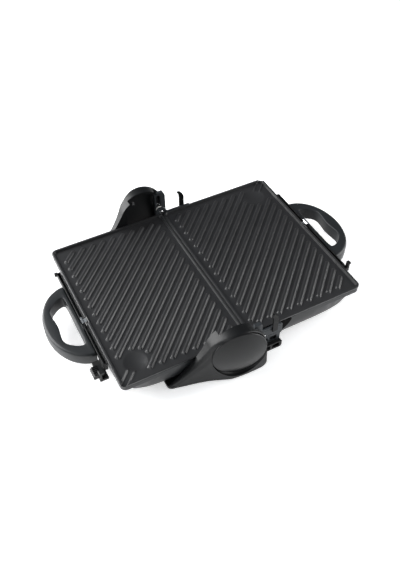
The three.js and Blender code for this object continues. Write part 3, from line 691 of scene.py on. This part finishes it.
# %% Prism tools
def prism(outline, low, high, axis="z"):
    """A closed prism: the outline's two coordinates are the axes other than axis, in alphabetical order."""
    outline = np.asarray(outline, float)
    count = len(outline)
    places = np.vstack([np.column_stack([outline, np.full(count, end)]) for end in (low, high)])
    order = {"z": [0, 1, 2], "y": [0, 2, 1], "x": [2, 0, 1]}[axis]
    around = np.arange(count)
    sides = np.stack([around, np.roll(around, -1), np.roll(around, -1) + count, around + count], axis=-1)
    faces = [list(range(count))[::-1], list(range(count, 2 * count))] + sides.tolist()
    mesh = bpy.data.meshes.new("prism")
    mesh.from_pydata((places[:, order] * MM).tolist(), [], faces)
    solid = bpy.data.objects.new("prism", mesh)
    bpy.context.scene.collection.objects.link(solid)
    return welded(solid, 0.001)


def block(x0, x1, y0, y1, z0, z1):
    """A prism with a rectangular outline."""
    return prism([(x0, y0), (x1, y0), (x1, y1), (x0, y1)], z0, z1)


def disc_outline(cx, cy, radius, count=40):
    """Points of a circle."""
    turn = np.linspace(0, 2 * math.pi, count, endpoint=False)
    return np.column_stack([cx + radius * np.cos(turn), cy + radius * np.sin(turn)])


def baked(piece):
    """Replaces a piece's mesh by what its modifiers make of it."""
    graph = bpy.context.evaluated_depsgraph_get()
    made = bpy.data.meshes.new_from_object(piece.evaluated_get(graph))
    piece.modifiers.clear()
    piece.data = made
    return piece


def combine(base, others, operation):
    """Joins (UNION), cuts (DIFFERENCE) or meets (INTERSECT) other solids and removes them."""
    for other in others:
        cut = base.modifiers.new("cut", "BOOLEAN")
        cut.object, cut.operation, cut.solver = other, operation, "EXACT"
    baked(base)
    for other in others:
        bpy.data.objects.remove(other)
    return base


def dress(piece, name, body, material, node=None, edge_mm=0.5, far=False, turned=False):
    """Names a prism, gives it finish and place, and breaks its edges. far mirrors it to the far side and
    turned brings it to the lid half."""
    piece.name = piece.data.name = name
    if far or turned:
        mirror = Matrix.Diagonal((1, -1, 1, 1)) if far else Matrix.Diagonal((-1, -1, 1, 1))
        piece.data.transform(mirror)
    welded(piece, 0.002)
    piece.data.materials.clear()
    piece.data.materials.append(material)
    piece.data.shade_smooth()
    if edge_mm:
        edge = piece.modifiers.new("broken_edges", "BEVEL")
        edge.width, edge.segments, edge.limit_method = edge_mm * MM, 2, "ANGLE"
        edge.angle_limit = math.radians(35)
        edge.miter_outer = "MITER_ARC"
        weighted = piece.modifiers.new("even_shading", "WEIGHTED_NORMAL")
        weighted.keep_sharp = True
    else:
        piece.data.set_sharp_from_angle(angle=math.radians(35))
    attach(piece, body)
    if node:
        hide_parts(node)
    return piece


print("prism tools ready")

# %% [markdown]
# ## Front rails and the storage latch
#
# Between plate and handle runs a deep black channel. Its walls are 1.6 mm thick, it has a notch for the
# plate clip and a small spur at one end. The lid's channel has a claw that the base's sliding latch catches
# when the press is stored. The latch has four ribs for the thumb.

# %% Rails
RAIL_IN, RAIL_OUT, RAIL_END = -196.2, -202.2, 98.0
RAIL_FLOOR, RAIL_BED, RAIL_TOP = 33.0, 38.0, 45.0


def front_rail():
    """The channel: a bar, its trough and the notch for the clip."""
    bar = block(RAIL_OUT, RAIL_IN, -RAIL_END, RAIL_END, RAIL_FLOOR, RAIL_TOP)
    trough = block(RAIL_OUT + 1.4, RAIL_IN - 1.2, -RAIL_END + 2, RAIL_END - 2, RAIL_BED - 2, RAIL_TOP + 1)
    notch = block(RAIL_OUT - 1, RAIL_IN + 1, CLIP_Y - 7.5, CLIP_Y + 7.5, RAIL_BED - 2, RAIL_TOP + 1)
    return combine(bar, [trough, notch], "DIFFERENCE")


base_rail = front_rail()
spur = prism([(RAIL_OUT - 4, RAIL_END - 2.2), (RAIL_OUT + 1, RAIL_END - 3.2), (RAIL_OUT + 1, RAIL_END),
              (RAIL_OUT - 3.4, RAIL_END)], RAIL_TOP - 5, RAIL_TOP + 2)
shelf = block(-214, RAIL_OUT + 1, -112, -78, 31, 35)
combine(base_rail, [spur, shelf], "UNION")
dress(base_rail, "base_rail_channel", "base", CHANNEL_ABS_PAINTED_SHADE, "base_rail", 0.35)

lid_rail = front_rail()
claw_outline = [(-202.5, 36), (-202.5, 53), (-207.2, 53), (-208.2, 51.6), (-207.6, 50.6), (-205.6, 50.6),
                (-205.6, 36)]
claw = prism(claw_outline, 96, 102, "y")
claw_root = block(-203.5, RAIL_IN, 90, 102, 36, 43)
combine(lid_rail, [claw, claw_root], "UNION")
dress(lid_rail, "lid_rail_channel", "lid", CHANNEL_ABS_PAINTED_SHADE, "lid_rail", 0.35,
      turned=True)
print("rails:", len(base_rail.data.polygons), "and", len(lid_rail.data.polygons), "faces")

# %% Storage latch
LATCH_LOW, LATCH_HIGH = box_mm("storage_latch")


def latch_slider():
    """A slider whose top falls towards the front, with thumb ribs and a hooked tongue."""
    x0, x1, y0, y1 = LATCH_LOW[0], LATCH_HIGH[0], -108.0, -92.0
    body = prism([(x1, 35.4), (x1, 43), (x0 + 2.0, 43), (x0, 41.2), (x0, 36.4), (x0 + 1, 35.4)],
                 y0, y1, "y")
    ribs = [prism([(x0 + 0.6, 41.5), (-210.5, 41.5), (-210.5, 43.9), (-212, 44.2), (x0 + 2.4, 44.2)],
                  y0 + 5.5 + 3 * k, y0 + 7 + 3 * k, "y") for k in range(4)]
    tongue = prism([(-214, 35.4), (-210.5, 35.4), (-210.5, 46.6), (-206.8, 46.6), (-206.8, 49), (-213, 49),
                    (-214, 48)], y0 - 4, y0 + 3, "y")
    return combine(body, ribs + [tongue], "UNION")


dress(latch_slider(), "storage_latch_slider", "storage_latch", SATIN_ABS,
      "storage_latch", 0.35)
print("latch between", LATCH_LOW.round(1), "and", LATCH_HIGH.round(1))

# %% [markdown]
# ## Plate clips
#
# One strip of spring steel holds each plate. It is bent three times: up from the shell, over the plate's
# rim, and back into a thumb tab. A strip is a line with a thickness, so its outline is the bent line pushed
# out to both sides, and the corners are rounded by the bending radius.

# %% Spring clips
def strip_outline(line, thickness, radius, per_bend=6):
    """A bent strip: each corner of the line becomes an arc by a quadratic curve that starts and ends a
    radius away from it, and the line is then offset by half the thickness to both sides."""
    line = np.asarray(line, float)
    t = np.linspace(0, 1, per_bend)[:, None]
    parts = [line[:1]]
    for before, here, after in zip(line[:-2], line[1:-1], line[2:]):
        start = here + (before - here) / np.linalg.norm(before - here) * radius
        end = here + (after - here) / np.linalg.norm(after - here) * radius
        parts.append(start * (1 - t) ** 2 + here * 2 * t * (1 - t) + end * t ** 2)
    smooth = np.vstack(parts + [line[-1:]])
    slope = np.gradient(smooth, axis=0)
    slope /= np.linalg.norm(slope, axis=1)[:, None]
    side = np.column_stack([-slope[:, 1], slope[:, 0]]) * thickness / 2
    return np.vstack([smooth + side, (smooth - side)[::-1]])


CLIP_LOW, CLIP_HIGH = box_mm("base_plate_clip")


def plate_clip():
    """The strip from its foot in the notch over the rim to the thumb tab, and the nose on the rim."""
    tab = strip_outline([(-199.0, 36.5), (-199.0, 49.6), (-202.7, 49.6)], 1.0, 1.6)
    nose = strip_outline([(-199.0, 44.0), (-199.0, 47.45), (-194.6, 47.45)], 1.0, 1.1)
    strip = prism(tab, CLIP_Y - 6, CLIP_Y + 6, "y")
    finger = prism(nose, CLIP_Y - 3.4, CLIP_Y + 3.4, "y")
    return combine(strip, [finger], "UNION")


for half, turned in (("base", False), ("lid", True)):
    dress(plate_clip(), half + "_clip_strip", half + "_plate_clip", SPRING_STEEL,
          half + "_plate_clip", 0.15, turned=turned)
print("clips from", CLIP_LOW.round(1), "to", CLIP_HIGH.round(1))

# %% [markdown]
# ## The side arms
#
# Each arm cover is one moulding that swoops from a thin tail on the table to a round head beside the hinge.
# Seen from the side it is an outline of arcs and curves; seen from above its face flares outwards towards
# the hinge. The outside is made as one stack of rings: the outline on the inner plane, then rounded over
# the outer edge, then shrinking across the flared face. The hollow that the lid's bracket swings into is
# cut afterwards with Booleans, exactly where the frame has it.

# %% Arm outline and face
DISC_X, DISC_Z, DISC_RADIUS = -31.0, 52.0, 42.95
ARM_TAIL, ARM_REAR, ARM_BOTTOM, ARM_INNER = -127.0, 13.5, 1.5, 145.4
ARM_HEART = np.array([-36.0, 24.0])


def arc(cx, cy, radius, start, end, count=40):
    """Points on an arc between two angles, in radians."""
    turn = np.linspace(start, end, count)
    return np.column_stack([cx + radius * np.cos(turn), cy + radius * np.sin(turn)])


def bezier(a, b, c, d, count=30):
    """A cubic Bezier curve: the four points weighted by the Bernstein polynomials."""
    a, b, c, d = (np.asarray(v, float) for v in (a, b, c, d))
    t = np.linspace(0, 1, count)[:, None]
    return a * (1 - t) ** 3 + 3 * b * t * (1 - t) ** 2 + 3 * c * t ** 2 * (1 - t) + d * t ** 3


def even(points, count):
    """A closed outline resampled to count points at equal distances."""
    closed = np.vstack([points, points[:1]])
    run = np.concatenate([[0], np.cumsum(np.linalg.norm(np.diff(closed, axis=0), axis=1))])
    where = np.linspace(0, run[-1], count, endpoint=False)
    return np.column_stack([np.interp(where, run, closed[:, k]) for k in range(points.shape[1])])


def arm_side_outline():
    """Flat underside, rounded heel, straight back, a disc over the hinge and an S down to the tail."""
    shoulder = math.pi * 0.86
    start = (DISC_X + DISC_RADIUS * math.cos(shoulder), DISC_Z + DISC_RADIUS * math.sin(shoulder))
    return np.vstack([
        np.column_stack([np.linspace(ARM_TAIL + 1, ARM_REAR - 10, 60), np.full(60, ARM_BOTTOM)]),
        arc(ARM_REAR - 10, ARM_BOTTOM + 10, 10, -math.pi / 2, 0, 14),
        arc(DISC_X, DISC_Z, DISC_RADIUS, 0, shoulder, 110),
        bezier(start, (-77, 58), (-84, 46), (-96, 34)),
        bezier((-96, 34), (-106, 24), (-118, 14), (ARM_TAIL, 7)),
        arc(ARM_TAIL + 1.2, ARM_BOTTOM + 2.0, 2.0, math.pi * 0.9, math.pi * 1.5, 6)])


FACE_PLAN = np.array([(-128, 148.2), (-117, 151.3), (-86, 158.5), (-72, 162.5), (-57, 168.5), (-43, 173.8),
                      (-28, 175.6), (14, 176.0)])


def face_offset(x):
    """Distance of the outer face from the middle plane: a cubic Hermite curve through the plan's points,
    with the slopes of the chords beside them."""
    known, side = FACE_PLAN.T
    slope = np.gradient(side, known)
    k = np.clip(np.searchsorted(known, x) - 1, 0, len(known) - 2)
    width = known[k + 1] - known[k]
    t = np.clip((x - known[k]) / width, 0, 1)
    return (side[k] * (1 + 2 * t) * (1 - t) ** 2 + slope[k] * width * t * (1 - t) ** 2
            + side[k + 1] * t ** 2 * (3 - 2 * t) + slope[k + 1] * width * t ** 2 * (t - 1))


outline = even(arm_side_outline(), 320)
print("arm outline: %d points, face from %.1f to %.1f mm" % (
    len(outline), face_offset(ARM_TAIL), face_offset(ARM_REAR)))

# %% Arm covers
ROOF_FILLET, FOOT_FILLET, FOOT_TOP = 6.5, 0.8, 6.6
ROOF_FADE, HEEL_FADE, HEEL_TOP_FADE = (1.0, 12.0), (-2.0, 10.0), (44.0, 60.0)


def arm_solid():
    """Rings from the inner plane to the face, then across the face. Over the fillet the outline shrinks by
    one minus the cosine of an angle while the side distance grows by its sine. The fillet is wide on the
    roof and narrow on the underside and heel."""
    inward = ARM_HEART - outline
    inward /= np.linalg.norm(inward, axis=1)[:, None]
    depth = face_offset(outline[:, 0]) - ARM_INNER
    roof = smooth_step(outline[:, 1] - ARM_BOTTOM, *ROOF_FADE)
    heel = smooth_step(outline[:, 0], *HEEL_FADE) * (1 - smooth_step(outline[:, 1], *HEEL_TOP_FADE))
    wanted = FOOT_FILLET + (ROOF_FILLET - FOOT_FILLET) * roof * (1 - heel)
    round_over = np.minimum(wanted, depth * 0.5 + 0.3)
    rings = []
    for share in np.linspace(0, 1, 6):
        side = ARM_INNER + (depth - round_over) * share
        rings.append(np.column_stack([outline[:, 0], -side, outline[:, 1]]))
    for angle in np.linspace(0, math.pi / 2, 7)[1:]:
        plan = outline + inward * (round_over * (1 - math.cos(angle)))[:, None]
        side = np.minimum(ARM_INNER + depth - round_over * (1 - math.sin(angle)), face_offset(plan[:, 0]))
        rings.append(np.column_stack([plan[:, 0], -side, plan[:, 1]]))
    edge = outline + inward * round_over[:, None]
    for share in (0.06, 0.15, 0.3, 0.45, 0.6, 0.75, 0.9):
        plan = edge + (ARM_HEART - edge) * share
        rings.append(np.column_stack([plan[:, 0], -face_offset(plan[:, 0]), plan[:, 1]]))
    middle_out = (ARM_HEART[0], -float(face_offset(ARM_HEART[0])), ARM_HEART[1])
    return ring_stack(np.array(rings), (ARM_HEART[0], -ARM_INNER, ARM_HEART[1]), middle_out)


CAP_CENTRE, CAP_RADIUS, CAP_TILT = np.array([-30.0, -169.7, 53.0]), 40.0, 0.166
SCOOP_SHIFT = np.array([3.4, -3.2, 0.0])


def cap_place(points):
    """From cap space (x along, y up the face, z out of it) to the tilted seat on the near arm."""
    x, y, z = points.T
    along = x * math.cos(CAP_TILT) - z * math.sin(CAP_TILT)
    out = z * math.cos(CAP_TILT) + x * math.sin(CAP_TILT)
    return np.column_stack([CAP_CENTRE[0] + along, CAP_CENTRE[1] - out, CAP_CENTRE[2] + y])


def lathe(profile, count, place, first=None, last=None):
    """A profile of (radius, height) turned about the height axis, then sent through place."""
    turn = np.linspace(0, 2 * math.pi, count, endpoint=False)
    radius, height = np.asarray(profile, float).T
    x = radius[:, None] * np.cos(turn)
    y = radius[:, None] * np.sin(turn)
    z = np.repeat(height[:, None], count, axis=1)
    rings = place(np.stack([x, y, z], axis=-1).reshape(-1, 3)).reshape(len(radius), count, 3)
    tips = [None if h is None else place(np.array([[0.0, 0.0, h]]))[0] for h in (first, last)]
    return ring_stack(rings, *tips)


def loose_solid(points, quads, fans):
    """A closed mesh without finish, for a Boolean."""
    mesh = bpy.data.meshes.new("solid")
    mesh.from_pydata((points * MM).tolist(), [], quads.tolist() + fans.tolist())
    solid = bpy.data.objects.new("solid", mesh)
    bpy.context.scene.collection.objects.link(solid)
    return welded(solid, 0.001)


def arm_hollows():
    """The cuts on the inner side: the swing channel, the pocket under the roof, the guide's bay and the
    seat of the cap."""
    roof_wall, floor_wall = 3.5, 12.5
    pocket = np.vstack([[(-62, ARM_BOTTOM + 3.5)], [(ARM_REAR - 9, ARM_BOTTOM + 3.5)],
                        [(ARM_REAR - roof_wall, ARM_BOTTOM + 10)],
                        arc(DISC_X, DISC_Z, DISC_RADIUS - roof_wall, 0.0, math.pi * 0.78, 50)])
    pocket_prism = prism(pocket, -175, -140, "y")
    limit = prism([(-62, -140), (-62, -159), (9.5, -170.5), (9.5, -140)], 4.5, 110)
    combine(pocket_prism, [limit], "INTERSECT")
    channel = block(-54.5, 30, -155.6, -140, ARM_BOTTOM + floor_wall, 110)
    guide_bay = block(-6.6, 30, -162.2, -140, 20, 110)
    head_bay = block(-6.2, 30, -167.5, -162.2, 42.1, 110)
    seat_profile = [(CAP_RADIUS + 0.6, 0.0), (CAP_RADIUS + 0.6, 14.0)]
    seat = loose_solid(*lathe(seat_profile, 96, cap_place, 0.0, 14.0))
    # the finger scoop under the cap's lower rear edge: a turned dish beside the seat
    scoop_profile = np.vstack([[(30.0, -2.4)], arc(CAP_RADIUS - 2.0, 3.6, 6.0, -math.pi / 2, 0, 8),
                               [(CAP_RADIUS + 4.6, 9.0), (CAP_RADIUS + 5.4, 14.0)]])
    scoop = loose_solid(*lathe(scoop_profile, 96, lambda at: cap_place(at + SCOOP_SHIFT), -2.4, 14.0))
    return [pocket_prism, channel, guide_bay, head_bay, seat, scoop]


def arm_cover(name, node, far):
    """One arm's moulding: the swooping solid, joined to its flat foot, with the hollows cut out."""
    cover = loose_solid(*arm_solid())
    foot_plan = np.vstack([bezier((-127.5, -130.5), (-129.6, -130.6), (-130, -131.4), (-130, -134), 6),
                           bezier((-130, -141), (-130, -146.8), (-127.5, -148.9), (-121, -150.4), 12),
                           [(-100, -152), (-66, -149), (-66, -140)]])
    heart = foot_plan.mean(axis=0)
    top_plan = heart + (foot_plan - heart) * 0.965
    foot = [prism(foot_plan, ARM_BOTTOM, FOOT_TOP - 1.0), prism(top_plan, ARM_BOTTOM, FOOT_TOP)]
    combine(cover, foot, "UNION")
    combine(cover, arm_hollows(), "DIFFERENCE")
    return dress(cover, name, "base", SATIN_ABS, node, 0, far=far)


near_cover = arm_cover("near_arm_moulding", "near_arm_cover", False)
arm_cover("far_arm_moulding", "far_arm_cover", True)
print("arm cover:", len(near_cover.data.polygons), "faces")

# %% [markdown]
# ## The round caps
#
# The cap is a shallow dome with a rolled rim. A dome of this kind is a slice of a sphere, and the rim turns
# over with a small radius, so that it catches a thin light line.

# %% Arm caps
def cap_profile():
    """Rim up from the seat, rolled over with a 1.6 mm radius, then the sphere's slice to the top."""
    rim, height, roll = 2.0, 9.98, 1.6
    bow = height - rim
    sphere = (CAP_RADIUS ** 2 + bow ** 2) / (2 * bow)
    half = math.asin((CAP_RADIUS - roll) / sphere)
    angles = np.linspace(half, 0.02, 26)
    dome = np.column_stack([sphere * np.sin(angles), height - sphere + sphere * np.cos(angles)])
    turn = np.linspace(0, math.pi / 2 - half, 7)
    rolled = np.column_stack([CAP_RADIUS - roll + roll * np.cos(turn),
                              dome[0, 1] - roll * 0.9 + roll * np.sin(turn)])
    return np.vstack([[(CAP_RADIUS - 0.2, 0.3)], rolled, dome[1:]]), height


def arm_cap(name, node, far):
    profile, height = cap_profile()
    points, quads, fans = lathe(profile, 128, cap_place, 0.3, height)
    if far:
        points = mirror_far(points)
    return finish_mesh(name, points, quads, fans, "base", SATIN_ABS, node, sharp=50)


arm_cap("near_arm_dome", "near_arm_cap", False)
arm_cap("far_arm_dome", "far_arm_cap", True)
print("caps tilt by %.1f degrees" % math.degrees(CAP_TILT))

# %% [markdown]
# ## Hinge hardware
#
# The hinge floats: its pins ride up and down in slotted steel guides, so thick bread lifts the lid level.
# The guides are on the base and the brackets on the lid. All are pressed from sheet, so each is an outline
# with real holes. Pins and screws are turned parts, and a turned part is a profile spun about its axis.

# %% Guides, brackets, hooks and feet
HINGE_Z = frame["joints"][1]["pos_m"][2] / MM
GUIDE_LOW, GUIDE_HIGH = box_mm("near_hinge_guide")
SLOT_HALF, SLOT_RISE = 3.8, 25.0
BRACKET_LOW, BRACKET_HIGH = box_mm("near_lid_bracket")
FOOT_LOW, FOOT_HIGH = box_mm("near_lid_foot")
TONGUE_TOP, SHADE_WEB_TOP, SHADE_WEB_THICK, SHADE_WEB_INNER = 7.2, 28, 0.8, -145.1


def hinge_guide():
    """An upright plate with a folded shoulder and a slot with round ends."""
    x0, x1, z0, z1 = GUIDE_LOW[0], GUIDE_HIGH[0], GUIDE_LOW[2], GUIDE_HIGH[2]
    outline = [(x0, z0), (x1, z0), (x1, z1 - 8), (x1 - 3.5, z1), (-1.5, z1), (-2.5, z1 - 4), (x0, z1 - 4)]
    slot = np.vstack([arc(0, HINGE_Z, SLOT_HALF, math.pi, 2 * math.pi, 14),
                      arc(0, HINGE_Z + SLOT_RISE, SLOT_HALF, 0, math.pi, 14)])
    plate = prism(outline, GUIDE_LOW[1], GUIDE_HIGH[1], "y")
    step = block(x1 - 2.0, x1 + 1, GUIDE_LOW[1] - 1, GUIDE_LOW[1] + 2.8, z0 + 10, z1 + 1)
    return combine(plate, [prism(slot, GUIDE_LOW[1] - 1, GUIDE_HIGH[1] + 1, "y"), step], "DIFFERENCE")


def lid_bracket():
    """The lid's hinge plate: an arm with a round boss, two windows, pressed ribs and a bore for the pin."""
    outer, inner = BRACKET_LOW[1], -146.2
    outline = [(2, 56), (10, 46.4), (52, 46.4), (54, 44), (54, 27), (51, 24), (51, 13), (46, 8), (18, 8),
               (13.5, 16), (7, 34), (-2, 40)]
    boss = prism(disc_outline(0, HINGE_Z, 9.5), outer, inner, "y")
    plate = combine(prism(outline, outer, inner, "y"), [boss], "UNION")
    ribs = [block(14, 50, outer - 0.25, outer + 1, z, z + 1.6) for z in (41.5, 28.0)]
    spacers = [prism(disc_outline(x, 33, 4), -146.7, BRACKET_HIGH[1], "y") for x in (22, 44)]
    combine(plate, spacers + ribs, "UNION")
    holes = [prism(disc_outline(0, HINGE_Z, 3.8), -170, -140, "y"), block(20, 30, -150, -145, 14.5, 24),
             block(34, 45, -150, -145, 14.5, 24), prism(disc_outline(44, 37, 1.6, 16), -152, -147, "y")]
    return combine(plate, holes, "DIFFERENCE")


def lid_hook():
    """An upright claw whose bent tip points at the hinge."""
    outline = np.vstack([[(35.5, 38), (44, 38), (44, 63)],
                         bezier((44, 63), (43.4, 69), (40.6, 73), (36.5, 76), 8),
                         [(33.5, 76.5), (32.6, 73.8)],
                         bezier((32.6, 73.8), (34.8, 72), (35.5, 69), (35.5, 64), 8)])
    return prism(outline, -152.3, -149.5, "y")


def lid_foot():
    """A black moulded foot with two deep windows. It reaches in under the bracket, and a dark upright sheet
    of painted shade stands behind the bracket's windows, in place of the shadow under the shell."""
    x0, x1, y0, y1, top = FOOT_LOW[0], FOOT_HIGH[0], FOOT_LOW[1], FOOT_HIGH[1], FOOT_HIGH[2]
    outline = [(x0, 0.0), (x1 - 2, 0.0), (x1, 2.0), (x1, top - 1), (x1 - 1, top), (x0 + 2, top),
               (x0, top - 3)]
    windows = [block(x0 + 3, x0 + 14, y0 - 1, y1 - 1.5, 3, top - 2.2),
               block(x0 + 18, x1 - 4, y0 - 1, y1 - 1.5, 3, top - 2.2)]
    foot = combine(prism(outline, y0, y1, "y"), windows, "DIFFERENCE")
    tongue = block(x0 + 0.5, x1 - 2, y1 - 0.5, SHADE_WEB_INNER, 2, TONGUE_TOP)
    # A dark upright sheet of painted shade behind the bracket's windows, for the shadow under the shell.
    shade_web = block(x0 + 0.5, x1 - 2, SHADE_WEB_INNER - SHADE_WEB_THICK, SHADE_WEB_INNER, 2, SHADE_WEB_TOP)
    return combine(foot, [tongue, shade_web], "UNION")


for far, side in ((False, "near"), (True, "far")):
    dress(hinge_guide(), side + "_guide_plate", "base", COATED_STEEL,
          side + "_hinge_guide", 0.3, far=far)
    dress(lid_bracket(), side + "_bracket_plate", "lid", COATED_STEEL,
          side + "_lid_bracket", 0.25, far=far)
    dress(lid_hook(), side + "_hook_claw", "lid", BLACKED_STEEL,
          side + "_lid_hook", 0.3, far=far)
    dress(lid_foot(), side + "_foot_moulding", "lid", CHANNEL_ABS_PAINTED_SHADE,
          side + "_lid_foot", 0.4, far=far)
print("hinge axis at z =", round(HINGE_Z, 1), "mm")

# %% Pins and screws
def place_along_y(x, z, y):
    """Turned parts lie with their axis along Y: profile height runs towards the near side."""
    return lambda points: np.column_stack([x + points[:, 0], y - points[:, 2], z + points[:, 1]])


def turned_part(name, profile, place, body, material, node, far, first=None, last=None, count=40):
    """A profile of (radius, height) spun about its axis, mirrored for the far side."""
    points, quads, fans = lathe(profile, count, place, first, last)
    if far:
        points = mirror_far(points)
    return finish_mesh(name, points, quads, fans, body, material, node, sharp=40)


def rounded_step(radius, low, high, roll=0.5):
    """The side of a turned step with both edges rolled."""
    turn = np.linspace(0, math.pi / 2, 4)
    lower = np.column_stack([radius - roll + roll * np.sin(turn), low + roll - roll * np.cos(turn)])
    upper = np.column_stack([radius - roll + roll * np.cos(turn), high - roll + roll * np.sin(turn)])
    return np.vstack([lower, upper])


pin_profile = np.vstack([[(2.9, 0.0), (3.4, 0.5), (3.4, 18.3)], rounded_step(5.2, 18.3, 20.8, 0.7),
                         [(2.0, 20.8)]])
screw_profile = np.vstack([[(2.2, 0.0), (2.2, 5.0), (3.8, 5.0), (4.0, 5.2), (4.0, 6.0)],
                           [(3.7, 6.5), (3.0, 7.0), (2.2, 7.3), (1.2, 7.4), (1.1, 6.6)]])
bracket_screw_profile = [(3.0, 0.0), (3.4, 0.2), (3.4, 0.8), (2.9, 1.4), (2.2, 1.75), (1.2, 1.8),
                         (1.1, 1.2)]
for far, side in ((False, "near"), (True, "far")):
    turned_part(side + "_pin_turned", pin_profile, place_along_y(0, HINGE_Z, -145.7), "hinge_carriage",
                SPRING_STEEL, side + "_hinge_pin", far, 0.0, 20.8)
    turned_part(side + "_cover_screw_turned", screw_profile, place_along_y(-43, 73, -160.3), "base",
                SPRING_STEEL, side + "_cover_screw", far, 0.0, 6.6)
    turned_part(side + "_bracket_screw_turned", bracket_screw_profile, place_along_y(22, 33, -149.5), "lid",
                SPRING_STEEL, side + "_bracket_screw", far, 0.0, 1.2)
print("turned parts made")

# %% [markdown]
# ## Painted shade in the lid's sides
#
# The lid's shell has a recess beside each bracket, so that the bracket can lie close to it. Its shade is
# painted: a separate near-black patch stands just proud of the skin, and no recess is cut. Its outline has
# round corners, and every point of it is pushed out to the skin by solving the skin formula for the distance
# across at that height.

# %% Painted recess shade
SHADE_PATCH_BACK, SHADE_PATCH_FACE = -0.6, 0.5


def side_distance(x, z):
    """Half width of the lid's skin at the height z: the skin formula turned round for across."""
    front = np.clip((x + SHELL_DEEPEST) / (-SHELL_LOW[0] + SHELL_DEEPEST), 0, 1) ** 5
    rear = np.clip((-SHELL_DEEPEST - x) / (-SHELL_DEEPEST + SHELL_HIGH[0]), 0, 1) ** 8
    depth = np.clip((SHELL_SKIRT - z) / SHELL_DEPTH, 0, 1) ** 3
    return SHELL_HIGH[1] * np.clip(1 - front - rear - depth, 1e-6, 1) ** (1 / 13)


def recess_shade_patch(name, far):
    """A near-black patch of painted shade that stands just proud of the skin: rings of a rounded outline
    shrinking to its middle.
    """
    corners = smooth_loop([(8, 41), (8, 30), (9, 19), (16, 12.5), (34, 11), (50, 13.5), (60, 24), (70, 36),
                           (72, 42), (67, 44), (40, 44), (14, 44)], 8)
    middle = np.array([38.0, 30.0])
    rings = []
    for out in (SHADE_PATCH_BACK, SHADE_PATCH_FACE):
        rings.append(np.column_stack([corners[:, 0], -(side_distance(*corners.T) + out), corners[:, 1]]))
    for share in (0.03, 0.2, 0.4, 0.6, 0.8):
        plan = corners + (middle - corners) * share
        rings.append(np.column_stack([plan[:, 0], -(side_distance(*plan.T) + SHADE_PATCH_FACE), plan[:, 1]]))
    tips = [(middle[0], -(float(side_distance(*middle)) + out), middle[1])
            for out in (SHADE_PATCH_BACK, SHADE_PATCH_FACE)]
    points, quads, fans = ring_stack(np.array(rings), *tips)
    if far:
        points = mirror_far(points)
    return finish_mesh(name, points, quads, fans, "lid", RECESS_SHADE_PAINT, sharp=60)


# One near-black patch of painted shade on each side of the lid.
recess_shade_patch("near_lid_recess_shade", False)
recess_shade_patch("far_lid_recess_shade", True)
print("half width of the lid there:", round(float(side_distance(38.0, 30.0)), 1), "mm")

# %% [markdown]
# ## Feet, lamps and the cord inlet
#
# The pads and lamps are under the press, so they show only when it is turned over or seen from low down.
# They are still real turned and moulded parts with a rolled edge, and the inlet at the back of the far arm
# has the ribs of a moulded grommet.

# %% Small round parts
def place_upright(x, y):
    """Turned parts standing on the table: profile height is Z."""
    return lambda points: points + np.array([x, y, 0.0])


def pad(node, name, body, material, roll):
    """A short round pad that fills its frame box, with both edges rolled."""
    low, high = box_mm(node)
    centre, radius = (low + high) / 2, (high[0] - low[0]) / 2
    side = rounded_step(radius, low[2], high[2], min(roll, (high[2] - low[2]) * 0.45))
    points, quads, fans = lathe(side, 48, place_upright(centre[0], centre[1]), low[2], high[2])
    return finish_mesh(name, points, quads, fans, body, material, node, sharp=50)


for side in ("near", "far"):
    pad(side + "_base_foot", side + "_base_pad", "base", FOOT_RUBBER, 1.2)
    pad(side + "_lid_pad", side + "_lid_rubber_pad", "lid", FOOT_RUBBER, 1.2)
    pad(side + "_arm_front_foot", side + "_front_pad", "base", FOOT_RUBBER, 0.4)
    pad(side + "_arm_rear_foot", side + "_rear_pad", "base", FOOT_RUBBER, 0.4)
pad("power_lamp", "power_lamp_lens", "lid", RED_ACRYLIC, 0.5)
pad("ready_lamp", "ready_lamp_lens", "lid", GREEN_ACRYLIC, 0.5)


def place_along_x(x, y, z):
    """Turned parts with their axis along X, profile height to +X."""
    return lambda points: np.column_stack([x + points[:, 2], y + points[:, 0], z + points[:, 1]])


INLET_LOW, INLET_HIGH = box_mm("cord_inlet")
inlet_centre = (INLET_LOW + INLET_HIGH) / 2
length = INLET_HIGH[0] - INLET_LOW[0]
INLET_SIDES = 48
ribbed = [(6.0 - 0.5 * (k % 2), 3.4 + 0.9 * k) for k in range(1, 6)]
inlet_profile = np.vstack([[(3.6, 0.0)], rounded_step(8.5, 0.0, 3.0, 0.6), [(6.2, 3.0)], ribbed,
                           [(5.6, length - 0.6), (5.0, length), (3.6, length)]])
inlet_place = place_along_x(INLET_LOW[0], inlet_centre[1], inlet_centre[2])
points, quads, _ = lathe(inlet_profile, INLET_SIDES, inlet_place)
rows = len(inlet_profile)
first = np.arange(INLET_SIDES)
last = first + (rows - 1) * INLET_SIDES
bore = np.stack([last, np.roll(last, -1), np.roll(first, -1), first], axis=-1)
finish_mesh("cord_inlet_grommet", points, np.vstack([quads, bore]), np.zeros((0, 3), int), "base",
            FOOT_RUBBER, "cord_inlet", sharp=40)
print("pads, lamps and inlet made")

# %% [markdown]
# ## Parts inside
#
# Reflectors, heating elements, fuses, thermostat, terminal blocks and bushes already have their right shape
# in the frame. They only need their real finish, so their mesh stays and its material is exchanged.

# %% Finishes of the parts inside
INSIDE = {
    "reflector": ALUMINISED, "heater": INCOLOY, "thermal_fuse": STEATITE, "terminal_block": STEATITE,
    "thermostat": ALUMINISED, "pin_bush": ACETAL,
}
for node, thing in frame["nodes"].items():
    kind = node.split("_", 1)[1]
    if kind in INSIDE:
        thing.data.materials.clear()
        thing.data.materials.append(INSIDE[kind])
shown = sorted(n for n, thing in frame["nodes"].items() if not thing.hide_render)
print("frame nodes still shown:", ", ".join(shown))
